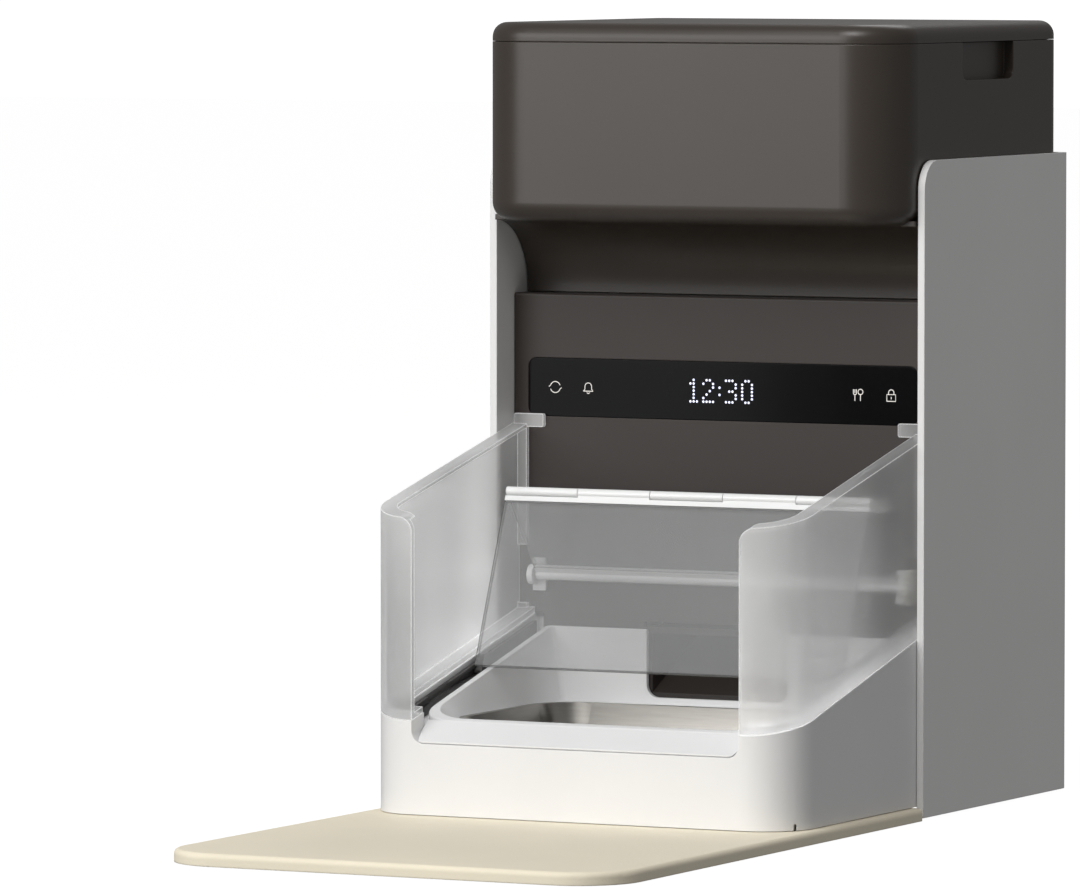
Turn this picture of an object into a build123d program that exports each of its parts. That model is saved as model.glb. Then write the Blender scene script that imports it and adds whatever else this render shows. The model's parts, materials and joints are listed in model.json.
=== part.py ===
from build123d import *
import math
import os

# Automatic pet feeder that opens its cover for a tagged pet.  Millimetres, +Z up, front towards -Y.
# Everything is drawn with Y = 0 at the front edge of the outer shell's side panels and Z = 0 at the floor,
# and moved at the end so that the origin is the bottom centre of the whole set.

# ---- driving dimensions -------------------------------------------------------------------------
# outer shell
shell_width = 230.0
shell_depth = 174.0
shell_height = 312.0
shell_wall = 3.5
shell_front_r = 14.0
shell_rear_r = 9.0
shell_floor_gap = 1.0
# clearances between neighbouring mouldings, and room for moving parts
skin_gap = 0.3
seat_gap = 0.3
running_gap = 0.05
part_gap = 0.6
# base
base_reach = 140.0
base_corner_r = 25.0
base_wall = 3.0
base_bottom_z = 6.3
base_rear_margin = 3.0
deck_angle = 14.0
rim_front_z = 50.0
front_land = 17.0
seam_rise = 4.5
surround_drop = 6.0
notch_margin = 7.5
notch_r = 6.0
ledge_width = 11.7
rear_deck_rise = 2.8
apron_lip = 0.8
# bowl tray and bowl
tray_rail_gap = 4.4
tray_rim = 3.9
tray_wall = 2.4
tray_edge_r = 1.2
tray_edge_lap = 1.5
tray_corner_r = 20.0
tray_outer_r = 22.0
tray_bearing = 1.6
tray_panel_gap = 2.2
step_drop = 1.7
step_margin = 14.5
well_wall = 2.0
well_front_inset = 5.5
well_rear_inset = 18.0
well_floor_z = 19.5
bowl_rim_lap = 2.5
bowl_depth = 27.0
bowl_sheet = 1.0
bowl_draft = 18.4
bowl_floor_r = 6.0
bowl_corner_r = 20.0
outlet_half = 37.5
outlet_rise = 3.2
outlet_r = 6.0
# folding cover
hinge_offset = 4.2
hinge_rise = 24.8
rear_open_angle = 52.5
front_open_angle = 67.45
rear_leaf_share = 0.3722
cover_end_inset = 4.7
cover_clearance = 2.75
leaf_side_gap = 0.6
leaf_thickness = 2.4
leaf_end_gap = 1.2
knuckle_r = 2.2
knuckle_web = 5.2
knuckle_count = 5
hinge_bar_r = 2.6
hinge_pin_r = 0.8
stub_r = 1.5
stub_seat = 8.0
guide_offset = 3.4
guide_pin_r = 1.3
guide_play = 0.35
guide_cover = 0.5
shoe_length = 9.0
shoe_inset = 3.6
ear_gap = 0.8
ear_t = 3.0
ear_r = 5.0
ear_pad = 4.0
ear_pad_height = 8.0
# guide rails
rail_thickness = 2.3
rail_groove = 1.5
rail_rise = 2.3
rail_drop = 5.7
rail_front_inset = 0.5
rail_rear_inset = 2.0
# clear side guards
guard_wall = 3.0
guard_rise = 100.0
guard_angle = 12.9
guard_lip = 5.0
guard_lip_t = 2.0
guard_corner_r = 7.0
guard_foot_t = 3.0
guard_foot_gap = 0.5
guard_flange_t = 2.4
guard_window = 14.0
hook_height = 4.5
hook_reach = 9.0
hook_r = 1.0
# hopper and lid
hopper_side_gap = 0.7
hopper_overhang = 27.0
hopper_rear_margin = 3.8
hopper_front_r = 28.0
hopper_rear_r = 12.0
hopper_wall = 2.6
hopper_lip_z = 281.0
hopper_lip_r = 9.0
hopper_seam_z = 367.0
cove_r = 35.0
cove_start_y = -3.0
funnel_wall = 2.4
funnel_margin = 8.8
funnel_front = 20.0
funnel_rear_margin = 8.0
funnel_mouth_half = 27.0
funnel_mouth_y = 25.0
finger_length = 60.0
finger_height = 18.0
finger_depth = 5.0
finger_rear = 88.2
finger_r = 5.0
lid_height = 9.0
lid_edge_r = 7.0
lid_wall = 2.4
liner_depth = 10.0
liner_gap = 0.6
liner_inset = 8.6
liner_wall = 2.0
seal_r = 1.0
seal_depth = 7.0
ledge_reach = 12.8
ledge_t = 2.0
desiccant_r = 26.0
desiccant_depth = 12.0
desiccant_wall = 1.6
desiccant_floor = 2.0
cap_rise = 4.0
cap_rim = 1.5
slot_half = 16.0
slot_width = 2.4
slot_pitch = 5.4
# front panel and display
panel_y = 18.2
panel_t = 2.8
panel_top_z = 245.0
panel_edge_r = 1.2
panel_foot_gap = 1.0
display_margin = 7.8
display_z = 199.7
display_height = 28.0
display_r = 4.5
display_t = 1.4
display_fit = 0.2
display_back = 6.0
display_back_height = 18.0
lamp_block = 42.0
lamp_icon = 8.0
lamp_height = 14.0
lamp_t = 2.0
icon_insets = (14.5, 32.3)
chute_frame = 3.0
lintel_drop = 3.5
# dosing unit
wheel_rear = 72.5
wheel_z = 165.0
wheel_r = 30.0
wheel_half = 27.0
wheel_gap = 1.6
vane_count = 6
vane_t = 2.0
vane_phase = 15.0
hub_r = 8.0
shaft_r = 3.0
shaft_end = 1.5
housing_wall = 2.5
housing_wrap = 1.6
neck_rise = 41.0
leg_half = 14.0
leg_foot = 10.0
leg_foot_t = 3.0
post_r = 3.0
post_angles = (60.0, 150.0, 240.0)
dosing_module = 1.0
wheel_teeth = 40
dosing_pinion_teeth = 12
dosing_gear_t = 6.0
dosing_gear_gap = 2.5
web_holes = 5
web_hole_r = 3.6
web_hole_place = 11.0
gear_cover_gap = 1.5
gear_cover_t = 2.4
gear_cover_rim = 1.5
motor_r = 12.0
motor_length = 30.0
motor_boss_r = 4.0
motor_boss = 2.0
motor_shaft_seat = 8.0
motor_angle = -40.0
door_module = 0.8
door_gear_teeth = 20
door_pinion_teeth = 20
door_gear_t = 3.0
door_motor_r = 8.5
door_motor_length = 34.0
saddle_front = 7.0
saddle_rear = 3.0
saddle_inset = 4.0
pressure_angle = 20.0
backlash = 0.16
# chute
chute_wall = 1.6
chute_top_half = 26.0
chute_reach = 19.6
chute_flare_front = 14.0
chute_flare_rear = 30.0
chute_drop = 14.0
chute_fit = 1.5
chute_head = 2.0
# batteries
battery_r = 16.5
battery_length = 60.0
battery_count = 3
battery_rear = 57.5
battery_cap = 2.0
battery_cap_r = 4.5
battery_door_t = 1.8
battery_rail = 3.0
battery_slide = 14.0
bay_wall = 2.0
bay_end = 4.0
bay_seat = 0.4
bay_floor = 0.8
bay_mouth_inset = 4.0
bay_corner_r = 4.0
contact_t = 0.6
contact_half = 8.0
spring_r = 3.0
rail_hook = 2.0
rail_hook_t = 1.2
door_lip = 1.6
door_lip_height = 2.0
rib_count = 5
rib_half = 16.0
rib_width = 1.3
rib_pitch = 2.6
rib_depth = 0.7
# boards, screws and other small parts
board_t = 1.6
board_width = 70.0
board_height = 58.0
board_side = 19.2
board_gap = 6.0
board_rise = 30.0
board_foot_r = 2.2
board_foot_inset = 4.0
board_chips = ((14.0, 32.0, 14.0, 14.0, 2.0), (42.0, 40.0, 10.0, 10.0, 1.6), (56.0, 14.0, 12.0, 9.0, 9.0))
coil_width = 5.0
coil_t = 3.0
speaker_side = 51.2
speaker_behind = 39.0
speaker_steps = ((20.0, 3.0), (14.0, 4.0), (8.0, 4.0))
foot_r = 9.0
foot_inset_x = 26.0
foot_inset_front = 30.0
foot_inset_rear = 18.0
foot_edge_r = 1.0
screw_r = 1.2
screw_head_r = 2.8
screw_head_t = 1.4
screw_sink = 0.4
screw_length = 12.0
screw_inset = 3.0
screw_hole_fit = 0.3
screw_front_1 = 42.0
screw_front_2 = 120.0
screw_rear_1 = 105.5
screw_rear_2 = 30.0
boss_r = 4.0
boss_height = 14.0
inlet_side = 51.2
inlet_z = 30.0
inlet_half_x = 7.6
inlet_half_z = 5.6
inlet_recess = 0.8
inlet_bore_r = 3.2
inlet_bore_depth = 4.2
inlet_pin_r = 1.0
inlet_pin = 4.0
# mat
mat_margin = 1.0
mat_reach = 196.0
mat_recess = 2.4
mat_t = 6.0
mat_rear_gap = 0.3
mat_corner_r = 30.0
mat_rear_r = 4.0
mat_edge_r = 2.5

# ---- sizes worked out from them -----------------------------------------------------------------
# side faces, from the outside inwards
shell_half = shell_width / 2
shell_inner = shell_half - shell_wall
base_half = shell_inner - skin_gap
hopper_half = shell_inner - hopper_side_gap
display_half = base_half - display_margin
rail_face = base_half - ledge_width
rail_inner = rail_face - skin_gap - rail_thickness
leaf_half = rail_inner - leaf_side_gap
tray_half = rail_inner - tray_rail_gap
tray_opening_half = tray_half - tray_rim
notch_half = tray_half - notch_margin
well_half = tray_half - step_margin
bowl_rim_half = well_half + bowl_rim_lap
funnel_top_half = hopper_half - funnel_margin
mat_half = shell_half + mat_margin
# front to back
base_front = -base_reach
base_rear = shell_depth - shell_wall - base_rear_margin
tray_front_y = base_front + front_land
tray_edge_front = tray_front_y - tray_edge_lap
tray_rear_y = panel_y - tray_panel_gap
guard_rear_y = panel_y - skin_gap
panel_back_y = panel_y + panel_t
hinge_y = panel_y - hinge_offset
wheel_y = base_rear - wheel_rear
battery_y = base_rear - battery_rear
hopper_rear = shell_depth - hopper_rear_margin
finger_y = hopper_rear - finger_rear
desiccant_y = (hopper_rear - hopper_overhang) / 2
cove_back_y = cove_start_y + cove_r
mat_front_y = base_front - mat_reach
mat_rear_y = -mat_rear_gap
origin_y = (shell_depth + mat_front_y) / 2
# heights
deck_slope = math.tan(math.radians(deck_angle))
guard_slope = math.tan(math.radians(guard_angle))
step_z = rim_front_z - step_drop
outlet_sill_z = step_z + outlet_rise
rear_deck_z = rim_front_z + (panel_y - tray_front_y) * deck_slope + rear_deck_rise
chute_lintel_z = rear_deck_z - lintel_drop
hinge_z = rim_front_z + (hinge_y - tray_front_y) * deck_slope + hinge_rise
cove_z = hopper_lip_z - cove_r
neck_top_z = wheel_z + neck_rise
seal_z = hopper_seam_z - seal_depth
lid_z0 = hopper_seam_z + seat_gap
liner_z = seal_z - ledge_t - liner_depth
# folding cover: closed, it spans from the hinge to just over the tray's front rim
cover_end_y = tray_front_y + cover_end_inset
cover_run = hinge_y - cover_end_y
cover_fall = hinge_rise + cover_run * deck_slope - cover_clearance
closed_angle = math.degrees(math.atan2(cover_fall, cover_run))
cover_length = math.hypot(cover_run, cover_fall)
rear_leaf_length = cover_length * rear_leaf_share
front_leaf_length = cover_length - rear_leaf_length
door_travel = rear_open_angle + closed_angle
fold_ratio = (front_open_angle - closed_angle + door_travel) / door_travel
ear_x0 = leaf_half + ear_gap
ear_x1 = ear_x0 + ear_t
door_gear_x0 = ear_x1 + part_gap
door_gear_x1 = door_gear_x0 + door_gear_t
door_centres = door_module * (door_gear_teeth + door_pinion_teeth) / 2
door_pinion_y = hinge_y + door_centres
door_motor_x1 = ear_x0 - part_gap
door_motor_x0 = door_motor_x1 - door_motor_length
# dosing unit
housing_r = wheel_r + wheel_gap
housing_half = wheel_half + wheel_gap
housing_end = housing_half + housing_wall
housing_outer = housing_r + housing_wall
outlet_top_z = wheel_z - housing_outer - chute_head
leg_y0 = wheel_y - leg_half
leg_y1 = wheel_y + leg_half
gear_x0 = housing_end + dosing_gear_gap
gear_x1 = gear_x0 + dosing_gear_t
cover_x0 = gear_x1 + gear_cover_gap
cover_x1 = cover_x0 + gear_cover_t
dosing_centres = dosing_module * (wheel_teeth + dosing_pinion_teeth) / 2
motor_y = wheel_y + dosing_centres * math.cos(math.radians(motor_angle))
motor_z = wheel_z + dosing_centres * math.sin(math.radians(motor_angle))
# batteries, feet and screws
cell_row = battery_count * battery_length / 2
cell_z = base_bottom_z + base_wall + battery_r + bay_floor
bay_half = cell_row + bay_end
bay_inner = bay_half - bay_wall
bay_depth = battery_r + 3.0
bay_front_y = battery_y - bay_depth
bay_rear_y = battery_y + bay_depth
battery_door_half = bay_half - bay_wall
battery_door_z = base_bottom_z - seat_gap
battery_rail_z = battery_door_z - battery_door_t - skin_gap
foot_x = base_half - foot_inset_x
front_foot_y = base_front + foot_inset_front
rear_foot_y = base_rear - foot_inset_rear
inlet_x = base_half - inlet_side
speaker_x = base_half - speaker_side
floor_z = base_bottom_z + base_wall
screw_x = base_half - base_wall - screw_inset
screw_rows = (base_front + screw_front_1, base_front + screw_front_2, base_rear - screw_rear_1,
              base_rear - screw_rear_2)
far = 600.0


def rim_z(y):
    """Height of the sloping tray rim plane at y."""
    return rim_front_z + (y - tray_front_y) * deck_slope


def guard_z(y):
    """Height of the guards' sloping top edge at y."""
    return rim_front_z + guard_rise + (y - tray_front_y) * guard_slope


# ---- shape helpers ------------------------------------------------------------------------------
def block(x0, x1, y0, y1, z0, z1):
    """Box between two corners."""
    return Pos(x0, y0, z0) * Box(x1 - x0, y1 - y0, z1 - z0, align=(Align.MIN, Align.MIN, Align.MIN))


def side_prism(points, half):
    """Prism of a side-view (y, z) outline, symmetric about the centre plane."""
    outline = make_face(Polyline(*points, close=True))
    return extrude(Plane.YZ * outline, amount=half, both=True)


def under(height, y0, y1):
    """Everything below the sloping line z = height(y)."""
    return side_prism([(y0, -far), (y1, -far), (y1, height(y1)), (y0, height(y0))], far)


def over(height, y0, y1, half=far):
    """Everything above the sloping line z = height(y)."""
    return side_prism([(y0, height(y0)), (y1, height(y1)), (y1, far), (y0, far)], half)


def plan_face(half, y0, y1, front_r, rear_r):
    """Plan outline with its own radius for the front pair and the rear pair of corners."""
    face = Pos(0, (y0 + y1) / 2) * Rectangle(2 * half, y1 - y0)
    rows = face.vertices().group_by(Axis.Y)
    if front_r > 0:
        face = fillet(rows[0], front_r)
    rows = face.vertices().group_by(Axis.Y)
    if rear_r > 0:
        face = fillet(rows[-1], rear_r)
    return face


def plan_block(half, y0, y1, front_r, rear_r, z0, z1):
    """Upright block on a plan outline."""
    return Pos(0, 0, z0) * extrude(plan_face(half, y0, y1, front_r, rear_r), amount=z1 - z0)


def rod(x0, x1, y, z, r):
    """Round bar along X."""
    return Pos((x0 + x1) / 2, y, z) * Rot(0, 90, 0) * Cylinder(r, x1 - x0)


def post(x, y, z0, z1, r):
    """Round post along Z."""
    return Pos(x, y, (z0 + z1) / 2) * Cylinder(r, z1 - z0)


def mirrored(part):
    """The same piece on the other side of the centre plane."""
    return mirror(part, about=Plane.YZ)


def gear_face(module, teeth, phase):
    """Involute gear outline about the local origin, the first tooth's centre at phase degrees."""
    pitch_r = module * teeth / 2
    base_r = pitch_r * math.cos(math.radians(pressure_angle))
    tip_r = pitch_r + module * 0.92
    root_r = pitch_r - module * 1.2
    alpha = math.radians(pressure_angle)
    half_tooth = math.pi / (2 * teeth) - backlash / (2 * pitch_r) + math.tan(alpha) - alpha
    start_r = max(base_r, root_r + 0.05 * module)

    def flank(r):
        roll = math.sqrt(max(0.0, (r / base_r) ** 2 - 1))
        return half_tooth - (roll - math.atan(roll))

    radii = [start_r + (tip_r - start_r) * i / 3 for i in range(4)]
    points = []
    for tooth in range(teeth):
        centre = math.radians(phase) + 2 * math.pi * tooth / teeth
        rising = [(root_r, -flank(start_r))] + [(r, -flank(r)) for r in radii]
        falling = [(r, flank(r)) for r in reversed(radii)] + [(root_r, flank(start_r))]
        for r, angle in rising + falling:
            points.append((r * math.cos(centre + angle), r * math.sin(centre + angle)))
    return make_face(Polyline(*points, close=True))


def gear(module, teeth, phase, x0, thickness, y, z):
    """Spur gear with its axis along X.  Its outline's local x runs along Y and local y along Z."""
    face = gear_face(module, teeth, phase)
    return Pos(x0, y, z) * extrude(Plane.YZ * face, amount=thickness)


# ---- folding cover geometry, side view (y, z) ---------------------------------------------------
def cover_pose(closing):
    """Fold axis, front-leaf direction and guide pin centre after closing by some degrees."""
    rear = math.radians(rear_open_angle - closing)
    front = math.radians(front_open_angle - closing * (fold_ratio - 1))
    fold = (hinge_y - rear_leaf_length * math.cos(rear), hinge_z + rear_leaf_length * math.sin(rear))
    along = (-math.cos(front), -math.sin(front))
    inward = (-along[1], along[0])
    pin = tuple(fold[i] + front_leaf_length * along[i] + guide_offset * inward[i] for i in range(2))
    return fold, along, inward, pin


fold_point, front_along, front_inward, pin_point = cover_pose(0.0)
rear_along = (-math.cos(math.radians(rear_open_angle)), math.sin(math.radians(rear_open_angle)))


def strip(start, along, length0, length1, thickness, x0, x1):
    """Flat strip along a side-view direction, centred on the line from start."""
    angle = math.degrees(math.atan2(along[1], along[0]))
    face = Pos(start[0], start[1]) * Rot(0, 0, angle) * (
        Pos((length0 + length1) / 2, 0) * Rectangle(length1 - length0, thickness)
    )
    return Pos(x0, 0, 0) * extrude(Plane.YZ * face, amount=x1 - x0)


def knuckle_bounds(index):
    """Ends along X of one hinge knuckle zone."""
    width = 2 * leaf_half / knuckle_count
    x0 = -leaf_half + index * width
    return x0 + seat_gap / 2, x0 + width - seat_gap / 2


def both_ways(side, near, far_end, y, z, r):
    """Round bar along X between two distances from the centre plane, on one side of it."""
    ends = sorted((side * near, side * far_end))
    return rod(ends[0], ends[1], y, z, r)


# ---- fixed mouldings ----------------------------------------------------------------------------
def mat():
    """Soft feeding mat with rounded front corners and recesses that the front feet sit in."""
    body = plan_block(mat_half, mat_front_y, mat_rear_y, mat_corner_r, mat_rear_r, 0.0, mat_t)
    body = fillet(body.faces().sort_by(Axis.Z)[-1].edges(), mat_edge_r)
    for side in (-1, 1):
        body -= post(side * foot_x, front_foot_y, mat_t - mat_recess, mat_t + 1, foot_r + skin_gap)
    return body


def rubber_feet():
    """Four round feet: two on the floor at the rear, two shallow ones in the mat."""
    feet = []
    for side in (-1, 1):
        feet.append(post(side * foot_x, front_foot_y, mat_t - mat_recess, base_bottom_z, foot_r))
        feet.append(post(side * foot_x, rear_foot_y, 0.0, base_bottom_z, foot_r))
    return [fillet(foot.faces().sort_by(Axis.Z)[0].edges(), foot_edge_r) for foot in feet]


def base_outer(inset, drop):
    """Base envelope, drawn in by a wall and with its sloping top lowered."""
    plan = plan_block(base_half - inset, base_front + inset, base_rear - inset,
                      base_corner_r - inset, shell_rear_r - inset, base_bottom_z, far)
    slope = under(lambda y: rim_z(y) + seam_rise - drop, base_front - 1, guard_rear_y)
    slope += under(lambda y: rear_deck_z - drop * 0.97, guard_rear_y - 1, base_rear + 1)
    return plan & slope


def notch_mouth(grow, back=0.0):
    """Rounded notch through the front wall, along the deck's slope, started further back on demand."""
    angle = math.radians(deck_angle)
    up = Vector(0, -math.sin(angle), math.cos(angle))
    forward = Vector(0, -math.cos(angle), -math.sin(angle))
    start = base_front + front_land * 0.75 + 3 + back
    floor = Vector(0, start, rim_z(start) - surround_drop - grow)
    depth = notch_half
    plane = Plane(origin=floor + up * (depth / 2), x_dir=(1, 0, 0), z_dir=forward)
    mouth = plane * RectangleRounded(2 * (notch_half + grow), depth, notch_r)
    return extrude(mouth, amount=front_land * 1.1 + back)


def deck_recess(grow):
    """Sunken deck between the side ledges, open through the front wall."""
    front = base_front + front_land * 0.75 - grow
    rear = panel_back_y + skin_gap + grow
    return over(lambda y: rim_z(y) - surround_drop - grow, front, rear, rail_face + grow) + notch_mouth(grow)


def screw_places():
    """Centres (x, y) of the bottom screws."""
    return [(side * screw_x, y) for side in (-1, 1) for y in screw_rows]


def base_shell():
    """White foot: hollow, with side ledges, a front notch, the tray opening and screw bosses."""
    body = base_outer(0, 0) - deck_recess(0)
    hollow = base_outer(base_wall, base_wall) - deck_recess(base_wall)
    hollow += block(-(base_half - base_wall), base_half - base_wall, base_front + base_wall * 4,
                    base_rear - base_wall, base_bottom_z - 1, floor_z)
    body -= hollow
    body -= plan_block(tray_half - tray_bearing, tray_edge_front + tray_bearing, tray_rear_y + 1.0,
                       tray_corner_r + 1, 2.0, base_bottom_z, far)
    shaft_half = outlet_half + 2 * chute_frame
    body -= block(-shaft_half, shaft_half, guard_rear_y - 1, wheel_y - 5, base_bottom_z + 20, far)
    for x, y in screw_places():
        boss = post(x, y, floor_z, floor_z + boss_height, boss_r)
        body += boss - post(x, y, floor_z - 1, floor_z + screw_length, screw_r)
    return body


def bottom_cover():
    """Underside plate with the battery opening, the battery door's rails and countersunk screw holes."""
    half = base_half - base_wall - skin_gap
    body = plan_block(half, base_front + base_wall + skin_gap, base_rear - base_wall - skin_gap,
                      base_corner_r - base_wall, 5.0, base_bottom_z, floor_z)
    body -= plan_block(bay_half - 6.0, bay_front_y + bay_mouth_inset, bay_rear_y - bay_mouth_inset,
                       bay_corner_r, bay_corner_r, base_bottom_z - 1, floor_z + 1)
    inner = battery_door_half + skin_gap
    y0 = bay_front_y + bay_mouth_inset - battery_slide
    rail = block(inner, inner + battery_rail, y0, bay_rear_y, battery_rail_z, base_bottom_z)
    rail += block(inner - rail_hook, inner + battery_rail, y0, bay_rear_y,
                  battery_rail_z - rail_hook_t, battery_rail_z)
    body += rail
    body += mirrored(rail)
    sink = base_bottom_z + screw_sink + screw_head_t
    for x, y in screw_places():
        body -= post(x, y, base_bottom_z - 1, sink, screw_head_r + screw_hole_fit)
        body -= post(x, y, sink - 1, floor_z + 1, screw_r + screw_hole_fit)
    return body


def battery_bay():
    """Box over the cells, open downwards, with a half-round seat for them."""
    body = block(-bay_half, bay_half, bay_front_y, bay_rear_y, floor_z, cell_z + battery_r + bay_wall)
    seat = battery_r + bay_seat
    body -= rod(-bay_inner, bay_inner, battery_y, cell_z, seat)
    return body - block(-bay_inner, bay_inner, battery_y - seat, battery_y + seat, floor_z - 1, cell_z)


def battery_cells():
    """Row of dry cells, each with its raised cap."""
    cells = []
    for i in range(battery_count):
        x0 = -cell_row + i * battery_length
        x1 = x0 + battery_length
        body = rod(x0 + seat_gap, x1 - battery_cap, battery_y, cell_z, battery_r)
        cells.append(body + rod(x1 - battery_cap, x1, battery_y, cell_z, battery_cap_r))
    return cells


def battery_contacts():
    """Sprung contact plate at each end of the row."""
    spans = ((-bay_inner, contact_t, -cell_row + seat_gap), (bay_inner - contact_t, contact_t, cell_row))
    plates = []
    for x0, width, tip in spans:
        x1 = x0 + width
        plate = block(x0, x1, battery_y - contact_half, battery_y + contact_half,
                      cell_z - contact_half, cell_z + contact_half)
        plates.append(plate + rod(min(x1, tip), max(x0, tip), battery_y, cell_z, spring_r))
    return plates


def battery_door():
    """Sliding battery cover under the opening, with a locating lip and finger ribs."""
    body = plan_block(battery_door_half, bay_front_y, bay_rear_y, 2.0, 2.0,
                      battery_door_z - battery_door_t, battery_door_z)
    rear = bay_rear_y - bay_mouth_inset - skin_gap
    body += block(-bay_half / 2, bay_half / 2, rear - door_lip, rear, battery_door_z - 0.5,
                  base_bottom_z + door_lip_height)
    for i in range(rib_count):
        y = battery_y + rib_pitch * (i + 1)
        low = battery_door_z - battery_door_t
        body -= block(-rib_half, rib_half, y, y + rib_width, low - 1, low + rib_depth)
    return body


def outer_shell():
    """Wrap-round outer skin: two side panels and the back in one moulding, with a window for the socket."""
    body = plan_block(shell_half, -1.0, shell_depth, 0, shell_rear_r, shell_floor_gap, shell_height)
    body -= plan_block(shell_inner, -2.0, shell_depth - shell_wall, 0, shell_rear_r - shell_wall,
                       shell_floor_gap - 1, shell_height + 1)
    side = Plane.YZ * (Pos(shell_depth / 2, (shell_floor_gap + shell_height) / 2)
                       * Rectangle(shell_depth, shell_height - shell_floor_gap))
    mask = extrude(side, amount=shell_half + 1, both=True)
    corner = mask.edges().filter_by(Axis.X).group_by(Axis.Y)[0].sort_by(Axis.Z)[-1]
    body &= fillet(corner, shell_front_r)
    window_x = inlet_half_x + skin_gap
    window_z = inlet_half_z + skin_gap
    return body - block(inlet_x - window_x, inlet_x + window_x, shell_depth - shell_wall - 1, shell_depth + 1,
                        inlet_z - window_z, inlet_z + window_z)


def power_inlet():
    """Barrel socket for the mains adaptor, set in the back, with its centre pin."""
    y1 = shell_depth - inlet_recess
    body = block(inlet_x - inlet_half_x, inlet_x + inlet_half_x, base_rear + skin_gap, y1,
                 inlet_z - inlet_half_z, inlet_z + inlet_half_z)
    floor = y1 - inlet_bore_depth
    along = Rot(90, 0, 0)
    bore = Pos(inlet_x, (floor + y1 + 1) / 2, inlet_z) * along * Cylinder(inlet_bore_r, y1 + 1 - floor)
    pin = Pos(inlet_x, floor + inlet_pin / 2 - 0.5, inlet_z) * along * Cylinder(inlet_pin_r, inlet_pin)
    return body - bore + pin


# ---- bowl tray and bowl -------------------------------------------------------------------------
def tray_level(z, half, y0, y1, front_r, rear_r):
    """Plan outline at a level, as a loft section."""
    return Pos(0, 0, z) * plan_face(half, y0, y1, front_r, rear_r)


def tray_slope_section(half, y0, y1, front_r, rear_r, rise):
    """Plan outline laid on the sloping rim plane, as a loft section."""
    run = math.cos(math.radians(deck_angle))
    plane = Plane(origin=(0, 0, rim_z(0) + rise), x_dir=(1, 0, 0),
                  z_dir=(0, -math.sin(math.radians(deck_angle)), run))
    return plane * plan_face(half, y0 / run, y1 / run, front_r, rear_r)


def tray_basin(grow):
    """Funnel-shaped space over the step: narrow at the bowl rim, wide at the sloping rim."""
    rear = tray_rear_y - tray_wall + min(grow, tray_wall)
    lower = tray_level(step_z - grow, bowl_rim_half + 2 + grow, tray_front_y + 3.5 - grow, rear,
                       tray_corner_r, 3.0)
    upper = tray_slope_section(tray_opening_half + grow * 0.75, tray_front_y + tray_wall - grow * 0.5, rear,
                               tray_corner_r + 1, 3.0, 0.6)
    return loft([lower, upper], ruled=True)


def tray_apron():
    """Sloping front face of the tray, filling the base's notch down to a thin lip."""
    lip_y = base_front + skin_gap
    lip_z = rim_z(lip_y) - surround_drop + seat_gap
    crest_y = tray_edge_front + tray_edge_r
    profile = [(lip_y, 0), (lip_y, lip_z + apron_lip), (crest_y, rim_z(crest_y) - 0.02), (crest_y, 0)]
    return side_prism(profile, notch_half) & notch_mouth(-seat_gap, front_land * 0.2)


def bowl_tray():
    """White tray: sloping rim, basin walls, step for the bowl's rim, well, and the food outlet."""
    flange = plan_block(tray_half, tray_edge_front, tray_rear_y, tray_outer_r, 3.0, base_bottom_z, far)
    flange &= under(rim_z, tray_front_y - 5, tray_rear_y + 5)
    flange = fillet(flange.faces().sort_by(Axis.Z)[-1].edges(), tray_edge_r)
    flange &= over(lambda y: rim_z(y) - surround_drop + seat_gap, tray_front_y - 5, tray_rear_y + 5)
    flange -= plan_block(tray_half - tray_bearing - seat_gap, tray_edge_front + tray_bearing + seat_gap,
                         tray_rear_y + 1, tray_corner_r + 1, 2.0, base_bottom_z, step_z - tray_wall)
    skirt = tray_basin(tray_wall) & under(lambda y: rim_z(y) - 1.0, tray_front_y - 5, tray_rear_y + 5)
    well = plan_block(well_half + well_wall, tray_front_y + well_front_inset, tray_rear_y - well_rear_inset,
                      bowl_corner_r + well_wall, bowl_corner_r + well_wall, well_floor_z - well_wall, step_z)
    body = flange + skirt + well + tray_apron()
    body -= tray_basin(0)
    body -= plan_block(well_half, tray_front_y + well_front_inset + well_wall,
                       tray_rear_y - well_rear_inset - well_wall, bowl_corner_r, bowl_corner_r,
                       well_floor_z, far)
    # food outlet, open upwards under the front panel
    slot = RectangleRounded(2 * outlet_half, 2 * outlet_half, outlet_r)
    slot = Plane.XZ * (Pos(0, outlet_sill_z + outlet_half) * slot)
    return body - Pos(0, tray_rear_y + 2, 0) * extrude(slot, amount=tray_wall + 4)


def bowl_pan(shrink, z0, z1):
    """Drafted tub with rounded corners and floor edge, drawn in by some sheet thickness."""
    y0 = tray_front_y + well_front_inset + well_wall + skin_gap + shrink
    y1 = tray_rear_y - well_rear_inset - well_wall - skin_gap - shrink
    corner = bowl_corner_r - shrink
    mouth = Pos(0, 0, z1) * plan_face(well_half - skin_gap - shrink, y0, y1, corner, corner)
    solid = extrude(mouth, amount=z1 - z0, dir=(0, 0, -1), taper=bowl_draft)
    return fillet(solid.faces().sort_by(Axis.Z)[0].edges(), bowl_floor_r - shrink)


def food_bowl():
    """Pressed steel bowl with a flat rim and drafted sides."""
    z1 = step_z + seat_gap + bowl_sheet
    floor = z1 - bowl_depth
    lap = bowl_rim_half - well_half + skin_gap
    y0 = tray_front_y + well_front_inset + well_wall + skin_gap - lap + 1
    y1 = tray_rear_y - well_rear_inset - well_wall - skin_gap + lap - 1
    rim = plan_block(bowl_rim_half, y0, y1, bowl_corner_r + lap, bowl_corner_r + lap, z1 - bowl_sheet, z1)
    return bowl_pan(0, floor, z1) + rim - bowl_pan(bowl_sheet, floor + bowl_sheet, z1)


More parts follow.
